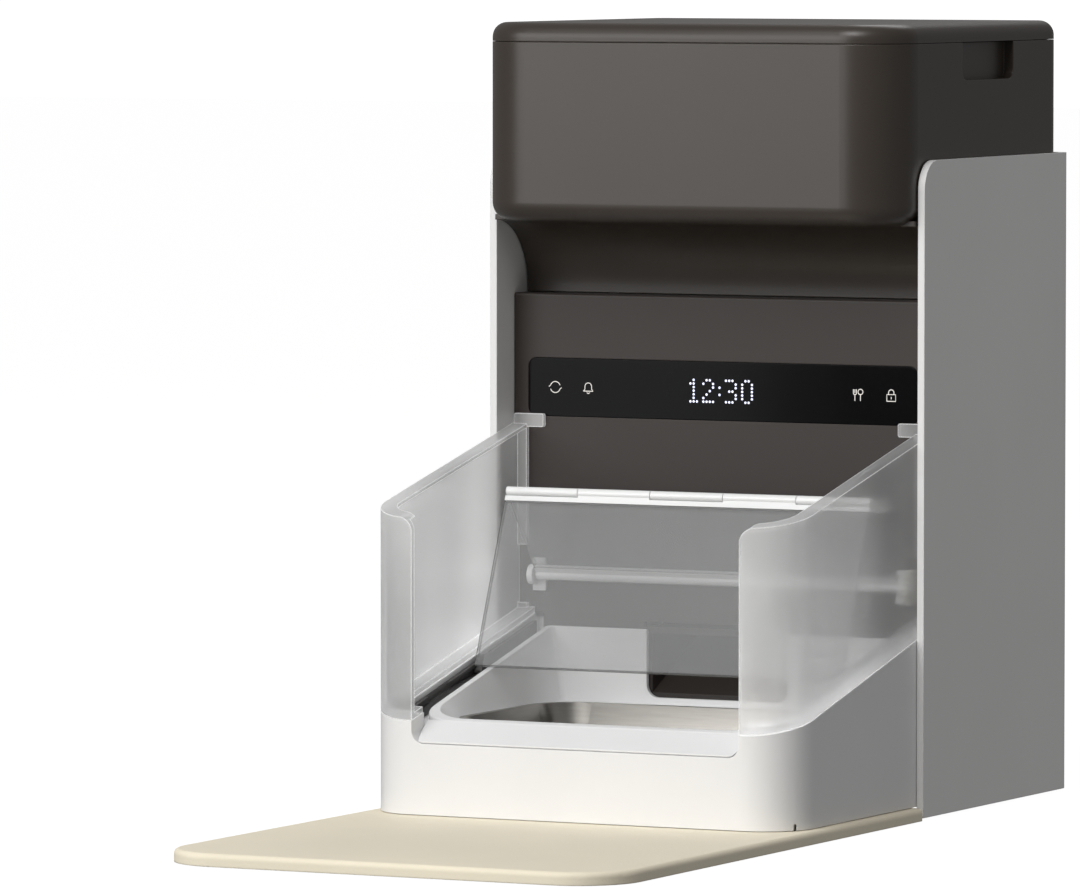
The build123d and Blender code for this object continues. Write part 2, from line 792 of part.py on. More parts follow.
# ---- guards and rails ---------------------------------------------------------------------------
def guard_plan(inset, z0, z1):
    """Plan of the base's side and front faces, drawn in."""
    return plan_block(base_half - inset, base_front + inset, guard_rear_y, base_corner_r - inset, 0, z0, z1)


def guard_seam(y):
    """Underside of the guards, just over the base's side ledges."""
    return rim_z(y) + seam_rise + seat_gap


def guard_right():
    """Clear side guard: skin, turned-in top lip, rear flange with a hook, and a foot on the ledge."""
    y0 = base_front - 5
    y1 = guard_rear_y + 5
    flange_x = base_half - guard_wall - guard_lip
    flange_y = guard_rear_y - guard_flange_t
    whole = guard_plan(0, 0, far)
    skin = whole - guard_plan(guard_wall, -1, far + 1)
    lip = whole - guard_plan(guard_wall + guard_lip, -1, far + 1)
    lip &= over(lambda y: guard_z(y) - guard_lip_t, y0, y1)
    foot = whole - guard_plan(ledge_width - guard_foot_gap, -1, far + 1)
    foot &= under(lambda y: guard_seam(y) + guard_foot_t, y0, y1)
    flange = block(flange_x, base_half - 1, flange_y, guard_rear_y, 0, far)
    flange -= block(0, far, -far, far, hinge_z - guard_window, hinge_z + guard_window)
    body = skin + lip + foot + flange
    body &= over(guard_seam, y0, guard_rear_y)
    # top edge: one sloping cut, rounded where it turns down at the front
    face = Pos(notch_half + far / 2, guard_z(y0) - far / 2) * Rectangle(far, far)
    inner_top = face.vertices().group_by(Axis.Y)[-1].sort_by(Axis.X)[0]
    face = fillet(inner_top, guard_corner_r)
    rise = math.sin(math.radians(guard_angle))
    run = math.cos(math.radians(guard_angle))
    body &= extrude(Plane.XZ.offset(-y0) * face, amount=(y1 - y0) / run, dir=(0, run, rise))
    hook = block(flange_x - hook_reach, base_half - 1, flange_y, guard_rear_y,
                 guard_z(guard_rear_y) - guard_lip_t, guard_z(guard_rear_y) + hook_height)
    return body + fillet(hook.edges().filter_by(Axis.Y), hook_r)


def guard_left():
    """The other clear side guard."""
    return mirrored(guard_right())


def guide_rail_right():
    """Dark guide rail on the side ledge's inner face, with the cam slot for the cover's guide pin."""
    y0 = tray_front_y + rail_front_inset
    y1 = tray_rear_y - rail_rear_inset
    band = side_prism([(y0, rim_z(y0) - rail_drop), (y1, rim_z(y1) - rail_drop),
                       (y1, rim_z(y1) + rail_rise), (y0, rim_z(y0) + rail_rise)], far)
    body = band & block(rail_inner, rail_inner + rail_thickness, -far, far, 0, far)
    return body - cam_slot()


def guide_rail_left():
    """The other guide rail."""
    return mirrored(guide_rail_right())


def cam_slot():
    """Slot that follows the guide pin from open to closed."""
    steps = 8
    points = [cover_pose(door_travel * i / steps)[3] for i in range(steps + 1)]
    width = 2 * (guide_pin_r + guide_play)
    face = Sketch() + [Pos(p[0], p[1]) * Circle(width / 2) for p in (points[0], points[-1])]
    for a, b in zip(points, points[1:]):
        length = math.dist(a, b)
        angle = math.degrees(math.atan2(b[1] - a[1], b[0] - a[0]))
        middle = ((a[0] + b[0]) / 2, (a[1] + b[1]) / 2)
        face += Pos(*middle) * Rot(0, 0, angle) * SlotOverall(length + width, width)
    return Pos(rail_inner - 1, 0, 0) * extrude(Plane.YZ * face, amount=rail_groove + 1)


def hinge_bracket_right():
    """Small bearing ear that carries the rear hinge stub on the front panel."""
    ear = block(ear_x0, ear_x1, hinge_y, guard_rear_y, hinge_z - ear_r, hinge_z + ear_r)
    ear += rod(ear_x0, ear_x1, hinge_y, hinge_z, ear_r)
    pad = block(ear_x0 - ear_pad, ear_x1, guard_rear_y - 2.0, panel_y,
                hinge_z - ear_pad_height, hinge_z + ear_pad_height)
    pad -= rod(ear_x0 - ear_pad - 1, ear_x0, hinge_y, hinge_z, hinge_bar_r + skin_gap)
    body = (ear + pad) & block(0, far, -far, panel_y, 0, far)
    return body - rod(ear_x0 - 1, ear_x1 + 1, hinge_y, hinge_z, stub_r + running_gap)


def hinge_bracket_left():
    """The other bearing ear."""
    return mirrored(hinge_bracket_right())


# ---- folding cover ------------------------------------------------------------------------------
def rear_leaf():
    """Clear rear leaf between its two hinge bars."""
    return strip((hinge_y, hinge_z), rear_along, knuckle_web, rear_leaf_length - knuckle_web,
                 leaf_thickness, -leaf_half, leaf_half)


def front_leaf():
    """Clear front leaf, from the fold to just short of the tray rim."""
    return strip(fold_point, front_along, knuckle_web, front_leaf_length - leaf_end_gap,
                 leaf_thickness, -leaf_half, leaf_half)


def rear_hinge_bar():
    """White bar that the rear leaf turns on, bored for a steel stub at each end."""
    body = rod(-leaf_half, leaf_half, hinge_y, hinge_z, hinge_bar_r)
    body += strip((hinge_y, hinge_z), rear_along, 0, knuckle_web, leaf_thickness, -leaf_half, leaf_half)
    for side in (-1, 1):
        body -= both_ways(side, leaf_half - stub_seat, leaf_half + 1, hinge_y, hinge_z, stub_r)
    return body


def fold_bar(start, along, bore, zones):
    """White hinge bar at the fold: web along the leaf's edge and its own share of the knuckles."""
    body = strip(start, along, knuckle_r + 0.5, knuckle_web, leaf_thickness, -leaf_half, leaf_half)
    for index in zones:
        x0, x1 = knuckle_bounds(index)
        body += rod(x0, x1, start[0], start[1], knuckle_r)
        body += strip(start, along, 0, knuckle_web, leaf_thickness, x0, x1)
    return body - rod(-leaf_half - 1, leaf_half + 1, start[0], start[1], bore)


def fold_bar_rear():
    """Fold bar on the rear leaf, outer and middle knuckles."""
    back_along = (-rear_along[0], -rear_along[1])
    return fold_bar(fold_point, back_along, hinge_pin_r, range(0, knuckle_count, 2))


def fold_bar_front():
    """Fold bar on the front leaf, knuckles between the others."""
    return fold_bar(fold_point, front_along, hinge_pin_r + running_gap, range(1, knuckle_count, 2))


def fold_pin():
    """Steel pin through all the knuckles."""
    return rod(-leaf_half + 0.5, leaf_half - 0.5, fold_point[0], fold_point[1], hinge_pin_r)


def hinge_stubs():
    """Steel stub shafts at the ends of the rear hinge bar; the right one carries the gear."""
    left = both_ways(-1, leaf_half - stub_seat, ear_x1 + skin_gap, hinge_y, hinge_z, stub_r)
    right = both_ways(1, leaf_half - stub_seat, door_gear_x1 + skin_gap, hinge_y, hinge_z, stub_r)
    return [left, right]


def door_gear():
    """Gear on the rear hinge stub."""
    body = gear(door_module, door_gear_teeth, 0.0, door_gear_x0, door_gear_t, hinge_y, hinge_z)
    return body - rod(door_gear_x0 - 1, door_gear_x1 + 1, hinge_y, hinge_z, stub_r)


def door_pinion():
    """Motor pinion that turns the cover, on its own shaft."""
    phase = 180.0 + 180.0 / door_pinion_teeth
    body = gear(door_module, door_pinion_teeth, phase, door_gear_x0, door_gear_t, door_pinion_y, hinge_z)
    return body + rod(door_motor_x1 - stub_seat / 2, door_gear_x1 + skin_gap, door_pinion_y, hinge_z, stub_r)


def door_motor():
    """Small geared motor behind the front panel, bored for the pinion shaft."""
    body = rod(door_motor_x0, door_motor_x1, door_pinion_y, hinge_z, door_motor_r)
    body += rod(door_motor_x0 - motor_boss, door_motor_x0, door_pinion_y, hinge_z, motor_boss_r)
    return body - rod(door_motor_x1 - stub_seat, door_motor_x1 + 1, door_pinion_y, hinge_z,
                      stub_r + running_gap)


def door_motor_mount():
    """Saddle that carries the motor on the base deck."""
    body = block(door_motor_x0 + saddle_inset, door_motor_x1 - saddle_inset, door_pinion_y - saddle_front,
                 door_pinion_y + door_motor_r + saddle_rear, rear_deck_z, hinge_z)
    return body - rod(door_motor_x0, door_motor_x1, door_pinion_y, hinge_z, door_motor_r + running_gap)


def guide_shoes():
    """Dark corner shoes on the front leaf, each with the pin that runs in its rail's slot."""
    shoes = []
    x0 = tray_half + part_gap
    rotation = math.degrees(math.atan2(front_along[1], front_along[0]))
    depth = guide_offset + guide_pin_r + guide_cover - leaf_thickness / 2
    middle = leaf_thickness / 2 + depth / 2
    face = Pos(front_leaf_length - shoe_inset, middle) * RectangleRounded(shoe_length, depth, depth / 5)
    plate = Pos(x0, *fold_point) * extrude(Plane.YZ * (Rot(0, 0, rotation) * face), amount=leaf_half - x0)
    for side in (-1, 1):
        pin = both_ways(side, x0 + 1, rail_inner + rail_groove - seat_gap, pin_point[0], pin_point[1],
                        guide_pin_r)
        shoes.append((plate if side > 0 else mirrored(plate)) + pin)
    return shoes


# ---- hopper and lid -----------------------------------------------------------------------------
def hopper_block(inset, z0, z1):
    """Upright block on the hopper's plan, drawn in."""
    return plan_block(hopper_half - inset, -hopper_overhang + inset, hopper_rear - inset,
                      hopper_front_r - inset, hopper_rear_r - inset / 2, z0, z1)


def funnel(grow, z_top, z_low):
    """Four-sided funnel from the hopper floor to the dosing unit."""
    y0 = funnel_front - grow
    y1 = hopper_rear - funnel_rear_margin + grow
    top = Pos(0, (y0 + y1) / 2, z_top) * Rectangle(2 * (funnel_top_half + grow), y1 - y0)
    low = Pos(0, wheel_y, z_low) * Rectangle(2 * (funnel_mouth_half + grow), 2 * (funnel_mouth_y + grow))
    return loft([low, top], ruled=True)


def hopper_body():
    """Brown food hopper: rounded tub, concave cove under its front lip, funnel, and finger recesses."""
    tub = hopper_block(0, hopper_lip_z, hopper_seam_z)
    tub = fillet(tub.faces().sort_by(Axis.Z)[0].edges(), hopper_lip_r)
    room = hopper_block(hopper_wall, hopper_lip_z + hopper_wall, hopper_seam_z + 1)
    room = fillet(room.faces().sort_by(Axis.Z)[0].edges(), hopper_lip_r - hopper_wall)
    body = tub - room
    # concave skin under the lip
    ring = Circle(cove_r + hopper_wall) - Circle(cove_r)
    quarter = Pos(cove_start_y, cove_z) * (ring & Pos(cove_r, cove_r) * Rectangle(2 * cove_r, 2 * cove_r))
    body += extrude(Plane.YZ * quarter, amount=hopper_half, both=True)
    body += block(-hopper_half, hopper_half, cove_back_y, cove_back_y + hopper_wall, panel_top_z + seat_gap,
                  cove_z + 0.5)
    # ledge that the lid's seal lies on
    ledge = hopper_block(hopper_wall - 0.5, seal_z - ledge_t, seal_z)
    body += ledge - hopper_block(ledge_reach, seal_z - 3, seal_z + 1)
    # funnel
    z_low = neck_top_z + seat_gap
    z_top = hopper_lip_z + hopper_wall
    body += funnel(funnel_wall, z_top, z_low)
    body -= funnel(0.0, z_top, z_low)
    body -= block(-funnel_mouth_half, funnel_mouth_half, wheel_y - funnel_mouth_y, wheel_y + funnel_mouth_y,
                  z_low - 1, z_low + 1)
    # finger recesses at the sides, under the lid
    y0 = finger_y - finger_length / 2
    z0 = hopper_seam_z - finger_height
    inner = hopper_half - finger_depth
    boss = block(inner - hopper_wall, hopper_half - 1, y0 - hopper_wall, y0 + finger_length + hopper_wall,
                 z0 - hopper_wall, hopper_seam_z)
    face = Pos(finger_y, z0 + finger_length) * RectangleRounded(finger_length, 2 * finger_length, finger_r)
    pocket = Pos(inner, 0, 0) * extrude(Plane.YZ * face, amount=finger_depth + 1)
    body += boss
    body += mirrored(boss)
    body -= pocket
    return body - mirrored(pocket)


def lid_cap():
    """Brown lid with a soft rounded edge, hollow below."""
    body = hopper_block(0, lid_z0, lid_z0 + lid_height)
    body = fillet(body.faces().sort_by(Axis.Z)[-1].edges(), lid_edge_r)
    return body - hopper_block(lid_wall, lid_z0 - 1, lid_z0 + lid_height - lid_wall)


def lid_liner():
    """Inner pan of the lid: plug, seal flange, and a wall up to the lid's ceiling."""
    top = lid_z0 + lid_height - lid_wall
    flange_z = seal_z + 2 * seal_r + seat_gap
    plug_inset = ledge_reach + liner_gap
    body = hopper_block(plug_inset, liner_z, flange_z + liner_wall) + hopper_block(liner_inset, flange_z, top)
    body -= hopper_block(plug_inset + liner_wall, liner_z + liner_wall, top + 1)
    return body - hopper_block(liner_inset + liner_wall, flange_z + liner_wall, top + 1)


def lid_seal():
    """Soft square gasket between the liner's flange and the hopper's ledge."""
    z0 = seal_z + seat_gap / 2
    body = hopper_block(liner_inset + 0.2, z0, z0 + 2 * seal_r)
    return body - hopper_block(ledge_reach + liner_gap, z0 - 1, z0 + 3)


def desiccant_box():
    """Round cup for a drying sachet under the liner."""
    body = post(0, desiccant_y, liner_z - desiccant_depth, liner_z, desiccant_r)
    return body - post(0, desiccant_y, liner_z - desiccant_depth - 1, liner_z - desiccant_floor,
                       desiccant_r - desiccant_wall)


def desiccant_cover():
    """Slotted cover of the drying cup."""
    z1 = liner_z - desiccant_depth
    plug_r = desiccant_r - desiccant_wall - skin_gap
    body = post(0, desiccant_y, z1 - desiccant_wall, z1, desiccant_r)
    body += post(0, desiccant_y, z1 - 1, z1 + cap_rise, plug_r)
    body -= post(0, desiccant_y, z1, z1 + cap_rise + 1, plug_r - cap_rim)
    for i in range(-3, 4):
        y = desiccant_y + i * slot_pitch
        body -= block(-slot_half, slot_half, y - slot_width / 2, y + slot_width / 2, z1 - 3, z1 + 1)
    return body


# ---- front panel and display --------------------------------------------------------------------
def front_panel():
    """Brown front wall with a ledge on top, the display recess, and cut-outs for outlet and gear."""
    low = rim_z(panel_y) - surround_drop + seat_gap + panel_foot_gap
    side_low = rim_z(panel_y) + seam_rise + seat_gap
    middle_half = rail_inner - cap_rim
    body = block(-base_half, base_half, panel_y, panel_back_y, side_low, panel_top_z)
    body += block(-middle_half, middle_half, panel_y, panel_back_y, low, panel_top_z)
    body += block(-base_half, base_half, panel_y, cove_back_y + hopper_wall,
                  panel_top_z - panel_t, panel_top_z)
    window = RectangleRounded(2 * (display_half + display_fit), display_height + 2 * display_fit, display_r)
    window = Plane.XZ * (Pos(0, display_z) * window)
    body -= Pos(0, panel_y + display_t, 0) * extrude(window, amount=display_t + 1)
    body -= block(-display_half + display_back, display_half - display_back, panel_y, panel_back_y + 1,
                  display_z - display_back_height / 2, display_z + display_back_height / 2)
    frame_half = outlet_half + chute_frame + 0.5
    body -= block(-frame_half, frame_half, panel_y - 1, panel_back_y + 1, 0, chute_lintel_z + chute_frame)
    gear_reach = door_centres / 2 + chute_frame
    body -= block(door_gear_x0 - part_gap, door_gear_x1 + 1.0, panel_y - 1, panel_back_y + 1,
                  hinge_z - gear_reach, hinge_z + gear_reach)
    edge = body.edges().filter_by(Axis.X).group_by(Axis.Z)[-1].sort_by(Axis.Y)[0]
    return fillet(edge, panel_edge_r)


def display_window():
    """Black gloss window of the display."""
    face = RectangleRounded(2 * display_half, display_height, display_r - display_fit)
    face = Plane.XZ * (Pos(0, display_z) * face)
    return Pos(0, panel_y + display_t - 0.1, 0) * extrude(face, amount=display_t + 0.1)


def display_board():
    """Lamp board behind the window, with its dot-matrix block and icon lamps."""
    y0 = panel_y + display_t + skin_gap
    half = display_half - display_back - 0.5
    board = (display_back_height - 2.0) / 2
    body = block(-half, half, y0 + lamp_t, y0 + lamp_t + board_t, display_z - board, display_z + board)
    icons = [side * (display_half - inset) for side in (-1, 1) for inset in icon_insets]
    for x, width in [(0.0, lamp_block)] + [(x, lamp_icon) for x in icons]:
        body += block(x - width / 2, x + width / 2, y0, y0 + lamp_t, display_z - lamp_height / 2,
                      display_z + lamp_height / 2)
    return body


def main_board():
    """Control board on the back of the front panel, with its larger components."""
    x0 = -base_half + board_side
    y0 = panel_back_y + board_gap
    z0 = rear_deck_z + board_rise
    body = block(x0, x0 + board_width, y0, y0 + board_t, z0, z0 + board_height)
    for x, z, width, height, thickness in board_chips:
        body += block(x0 + x, x0 + x + width, y0 + board_t, y0 + board_t + thickness, z0 + z, z0 + z + height)
    for x in (x0 + board_foot_inset, x0 + board_width - board_foot_inset):
        for z in (z0 + board_foot_inset, z0 + board_height - board_foot_inset):
            body += Pos(x, (panel_back_y + y0) / 2, z) * Rot(90, 0, 0) * Cylinder(board_foot_r, board_gap)
    return body


# ---- dosing unit --------------------------------------------------------------------------------
def dosing_housing():
    """Barrel round the portion wheel: inlet neck, outlet, end wall with bearing, and leg."""
    body = rod(-housing_end, housing_half, wheel_y, wheel_z, housing_outer)
    body += block(-funnel_mouth_half - part_gap - 1.4, funnel_mouth_half + 1.4,
                  wheel_y - funnel_mouth_y - housing_wall, wheel_y + funnel_mouth_y + housing_wall,
                  wheel_z, neck_top_z)
    body += block(-chute_top_half - housing_wrap, chute_top_half + housing_wrap, wheel_y - chute_reach,
                  wheel_y + chute_reach, outlet_top_z + seat_gap, wheel_z)
    body += block(-housing_end, -housing_half, leg_y0, leg_y1, rear_deck_z, wheel_z)
    body += block(-housing_end - leg_foot, -housing_half, leg_y0, leg_y1,
                  rear_deck_z, rear_deck_z + leg_foot_t)
    body -= rod(-housing_half, housing_half + 1, wheel_y, wheel_z, housing_r)
    body -= block(-funnel_mouth_half, funnel_mouth_half - part_gap, wheel_y - funnel_mouth_y,
                  wheel_y + funnel_mouth_y, wheel_z, neck_top_z + 1)
    inner = chute_reach - housing_wrap
    body -= block(-chute_top_half, chute_top_half, wheel_y - inner, wheel_y + inner, outlet_top_z, wheel_z)
    return body - rod(-housing_end - 1, 0, wheel_y, wheel_z, shaft_r + running_gap)


def post_place(angle):
    """Centre (y, z) of one gear-cover post."""
    r = housing_r - 2.0
    return wheel_y + r * math.cos(math.radians(angle)), wheel_z + r * math.sin(math.radians(angle))


def dosing_cap():
    """End plate with the second bearing, its leg, and posts for the gear cover."""
    x0 = housing_half + 0.1
    x1 = x0 + housing_wall
    body = rod(x0, x1, wheel_y, wheel_z, housing_outer)
    body += block(x0, x1, leg_y0, leg_y1, rear_deck_z, wheel_z)
    body += block(x0, x1 + leg_foot, leg_y0, leg_y1, rear_deck_z, rear_deck_z + leg_foot_t)
    for angle in post_angles:
        body += rod(x1, cover_x0, *post_place(angle), post_r)
    return body - rod(x0 - 1, x1 + 1, wheel_y, wheel_z, shaft_r + running_gap)


def gear_cover():
    """Plate over the dosing gears that carries the motor."""
    body = rod(cover_x0, cover_x1, wheel_y, wheel_z, housing_r + gear_cover_rim)
    body += rod(cover_x0, cover_x1, motor_y, motor_z, motor_r + gear_cover_rim)
    return body - rod(cover_x0 - 1, cover_x1 + 1, motor_y, motor_z, stub_r + 1.0)


def dosing_motor():
    """Geared motor outboard of the cover."""
    end = cover_x1 + motor_length
    body = rod(cover_x1, end, motor_y, motor_z, motor_r)
    body += rod(end, end + motor_boss, motor_y, motor_z, motor_boss_r)
    return body - rod(cover_x1 - 1, cover_x1 + motor_shaft_seat, motor_y, motor_z, stub_r + running_gap)


def dosing_pinion():
    """Motor pinion and shaft."""
    phase = motor_angle + 180.0 + 180.0 / dosing_pinion_teeth
    body = gear(dosing_module, dosing_pinion_teeth, phase, gear_x0, dosing_gear_t, motor_y, motor_z)
    return body + rod(gear_x0 - 1, cover_x1 + motor_shaft_seat - 1, motor_y, motor_z, stub_r)


def portion_wheel():
    """Soft-vaned wheel that measures out each portion."""
    body = rod(-wheel_half, wheel_half, wheel_y, wheel_z, hub_r)
    vane = block(-wheel_half, wheel_half, hub_r - 1, wheel_r, -vane_t / 2, vane_t / 2)
    for i in range(vane_count):
        body += Pos(0, wheel_y, wheel_z) * Rot(i * 360 / vane_count + vane_phase, 0, 0) * vane
    return body - rod(-wheel_half - 1, wheel_half + 1, wheel_y, wheel_z, shaft_r)


def wheel_shaft():
    """Steel shaft of the portion wheel and its gear."""
    return rod(-housing_end - shaft_end, gear_x1 + shaft_end / 2, wheel_y, wheel_z, shaft_r)


def wheel_gear():
    """Gear on the wheel's shaft, webbed and lightened."""
    body = gear(dosing_module, wheel_teeth, motor_angle, gear_x0, dosing_gear_t, wheel_y, wheel_z)
    hole = rod(gear_x0 - 1, gear_x1 + 1, web_hole_place, 0, web_hole_r)
    for i in range(web_holes):
        body -= Pos(0, wheel_y, wheel_z) * Rot(i * 360 / web_holes, 0, 0) * hole
    return body - rod(gear_x0 - 1, gear_x1 + 1, wheel_y, wheel_z, shaft_r)


def chute_duct(grow):
    """Inside of the sloping chute, or its outside when grown by the wall."""
    y_mouth = tray_rear_y + skin_gap
    y_front = y_mouth if grow else y_mouth - 1
    low_z = outlet_sill_z + chute_fit - grow
    high_z = chute_lintel_z - housing_wall + grow
    top_z = outlet_top_z if grow else outlet_top_z + 1
    y_drop = wheel_y - chute_reach + chute_wall - grow
    y_back = wheel_y + chute_reach - chute_wall + grow
    points = [(y_front, low_z), (y_front, high_z), (y_mouth + chute_flare_front, high_z + 4),
              (y_drop, outlet_top_z - chute_drop), (y_drop, top_z), (y_back, top_z), (y_back, outlet_top_z - 6)]
    mouth = outlet_half - chute_fit + grow
    neck = chute_top_half + grow
    flare = [(-mouth, y_mouth - 2), (mouth, y_mouth - 2), (neck, wheel_y - chute_flare_rear),
             (neck, y_back + 1), (-neck, y_back + 1), (-neck, wheel_y - chute_flare_rear)]
    plan = extrude(make_face(Polyline(*flare, close=True)), amount=far)
    return side_prism(points, 2 * outlet_half) & plan


def chute():
    """Sloping food chute from the dosing unit to the outlet, flared towards its mouth."""
    half = outlet_half + chute_frame
    y_mouth = tray_rear_y + skin_gap
    frame = block(-half, half, y_mouth, y_mouth + chute_wall,
                  outlet_sill_z - chute_frame, chute_lintel_z + 1.0)
    return chute_duct(chute_wall) + frame - chute_duct(0)


# ---- small internal parts -----------------------------------------------------------------------
def antenna_coil():
    """Flat tag-reading coil round the tray's well, below its step."""
    z1 = step_z - 2 * tray_wall - seat_gap
    y0 = tray_front_y + well_front_inset - skin_gap
    y1 = tray_rear_y - well_rear_inset + skin_gap
    inner_r = bowl_corner_r + well_wall
    inner_half = well_half + well_wall + skin_gap
    outer = plan_block(inner_half + coil_width, y0 - coil_width, y1 + coil_width, inner_r + coil_width,
                       inner_r + coil_width, z1 - coil_t, z1)
    return outer - plan_block(inner_half, y0, y1, inner_r, inner_r, z1 - coil_t - 1, z1 + 1)


def speaker():
    """Small round speaker on the bottom cover."""
    z = floor_z
    rings = []
    for r, height in speaker_steps:
        rings.append(post(-speaker_x, tray_rear_y + speaker_behind, z, z + height, r))
        z += height
    return rings[0] + rings[1] + rings[2]


def case_screws():
    """Countersunk case screws in the bottom cover."""
    z0 = base_bottom_z + screw_sink
    z1 = z0 + screw_head_t
    screws = []
    for x, y in screw_places():
        screws.append(post(x, y, z0, z1, screw_head_r) + post(x, y, z1, z0 + screw_length, screw_r))
    return screws


# ---- build and export ---------------------------------------------------------------------------
makers = (
    mat, base_shell, bottom_cover, rubber_feet, battery_bay, battery_cells, battery_contacts,
    battery_door, outer_shell, power_inlet, bowl_tray, food_bowl, guard_right, guard_left,
    guide_rail_right, guide_rail_left, hinge_bracket_right, hinge_bracket_left, rear_leaf, front_leaf,
    rear_hinge_bar, fold_bar_rear, fold_bar_front, fold_pin, hinge_stubs, door_gear, door_pinion,
    door_motor, door_motor_mount, guide_shoes, hopper_body, lid_cap, lid_liner, lid_seal, desiccant_box,
    desiccant_cover, front_panel, display_window, display_board, main_board, dosing_housing, dosing_cap,
    gear_cover, dosing_motor, dosing_pinion, portion_wheel, wheel_shaft, wheel_gear, chute,
    antenna_coil, speaker, case_screws,
)

os.makedirs("parts", exist_ok=True)
for make in makers:
    made = make()
    solids = made if isinstance(made, list) else [made]
    moved = [Pos(0, -origin_y, 0) * solid for solid in solids]
    shape = moved[0] if len(moved) == 1 else Compound(children=moved)
    export_step(shape, os.path.join("parts", make.__name__ + ".step"))
    print(make.__name__, round(sum(solid.volume for solid in solids), 1))
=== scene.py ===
"""Looks for an automatic pet feeder with a folding clear bowl cover.

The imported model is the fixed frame.  Each sub-assembly below is a class that dresses its own nodes
and adds the small pieces that belong to it.  Lengths are in metres, with +Z up and the front to -Y.
"""

import json
import logging
import math
from dataclasses import dataclass, field
from enum import Enum
from typing import Any, Mapping, Sequence, Union

import bmesh
import bpy
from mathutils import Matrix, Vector


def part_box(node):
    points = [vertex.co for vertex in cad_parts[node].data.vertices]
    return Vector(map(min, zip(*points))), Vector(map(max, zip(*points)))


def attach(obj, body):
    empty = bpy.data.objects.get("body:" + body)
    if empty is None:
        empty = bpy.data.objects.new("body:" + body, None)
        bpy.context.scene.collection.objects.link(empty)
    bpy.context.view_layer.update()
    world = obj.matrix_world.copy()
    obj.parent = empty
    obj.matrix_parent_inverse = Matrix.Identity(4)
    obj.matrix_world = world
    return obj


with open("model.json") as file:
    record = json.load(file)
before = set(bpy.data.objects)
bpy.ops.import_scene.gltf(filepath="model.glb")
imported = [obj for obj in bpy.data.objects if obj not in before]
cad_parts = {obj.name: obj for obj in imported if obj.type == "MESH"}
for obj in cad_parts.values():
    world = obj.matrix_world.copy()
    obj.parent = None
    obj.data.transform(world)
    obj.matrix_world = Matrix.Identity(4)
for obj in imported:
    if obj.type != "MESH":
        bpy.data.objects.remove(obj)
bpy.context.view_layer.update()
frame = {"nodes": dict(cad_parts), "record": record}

LOG = logging.getLogger("feeder")
MM = 0.001
BEVEL_SAMPLES = 6
EDGE_TURN = (0.008, 0.12)
CLOUD_RANGE = (0.3, 0.7)
WHITE = (1.0, 1.0, 1.0)
BLACK = (0.0, 0.0, 0.0)

Colour = tuple[float, float, float]
Point = tuple[float, float, float]
Flat = tuple[float, float]


# ---- shader expressions --------------------------------------------------------------------------
class Wire:
    """A node's output socket that builds Math nodes through Python's operators."""

    def __init__(self, graph: "Graph", socket: bpy.types.NodeSocket) -> None:
        """Wraps one output socket of a graph."""
        self.graph = graph
        self.socket = socket

    def _math(self, operation: str, first: "Operand", second: "Operand" = 0.0) -> "Wire":
        """Adds one Math node.

        Args:
            operation: the Math node's operation.
            first: the left operand.
            second: the right operand.

        Returns:
            The new node's value.
        """
        made = self.graph.node("ShaderNodeMath", {"operation": operation}, {0: first, 1: second})
        return Wire(self.graph, made.outputs[0])

    def __add__(self, other: "Operand") -> "Wire":
        """Sum."""
        return self._math("ADD", self, other)

    __radd__ = __add__

    def __sub__(self, other: "Operand") -> "Wire":
        """Difference."""
        return self._math("SUBTRACT", self, other)

    def __rsub__(self, other: "Operand") -> "Wire":
        """Difference with the plain number first."""
        return self._math("SUBTRACT", other, self)

    def __mul__(self, other: "Operand") -> "Wire":
        """Product."""
        return self._math("MULTIPLY", self, other)

    __rmul__ = __mul__

    def at_least(self, other: "Operand") -> "Wire":
        """The greater of the two."""
        return self._math("MAXIMUM", self, other)

    def ramp(self, low: float, high: float) -> "Wire":
        """Rises smoothly from 0 at low to 1 at high.

        Args:
            low: where the rise starts.
            high: where it ends.

        Returns:
            The eased value.
        """
        made = self.graph.node(
            "ShaderNodeMapRange",
            {"interpolation_type": "SMOOTHSTEP"},
            {"Value": self, "From Min": low, "From Max": high},
        )
        return Wire(self.graph, made.outputs["Result"])


Operand = Union[Wire, float, int]


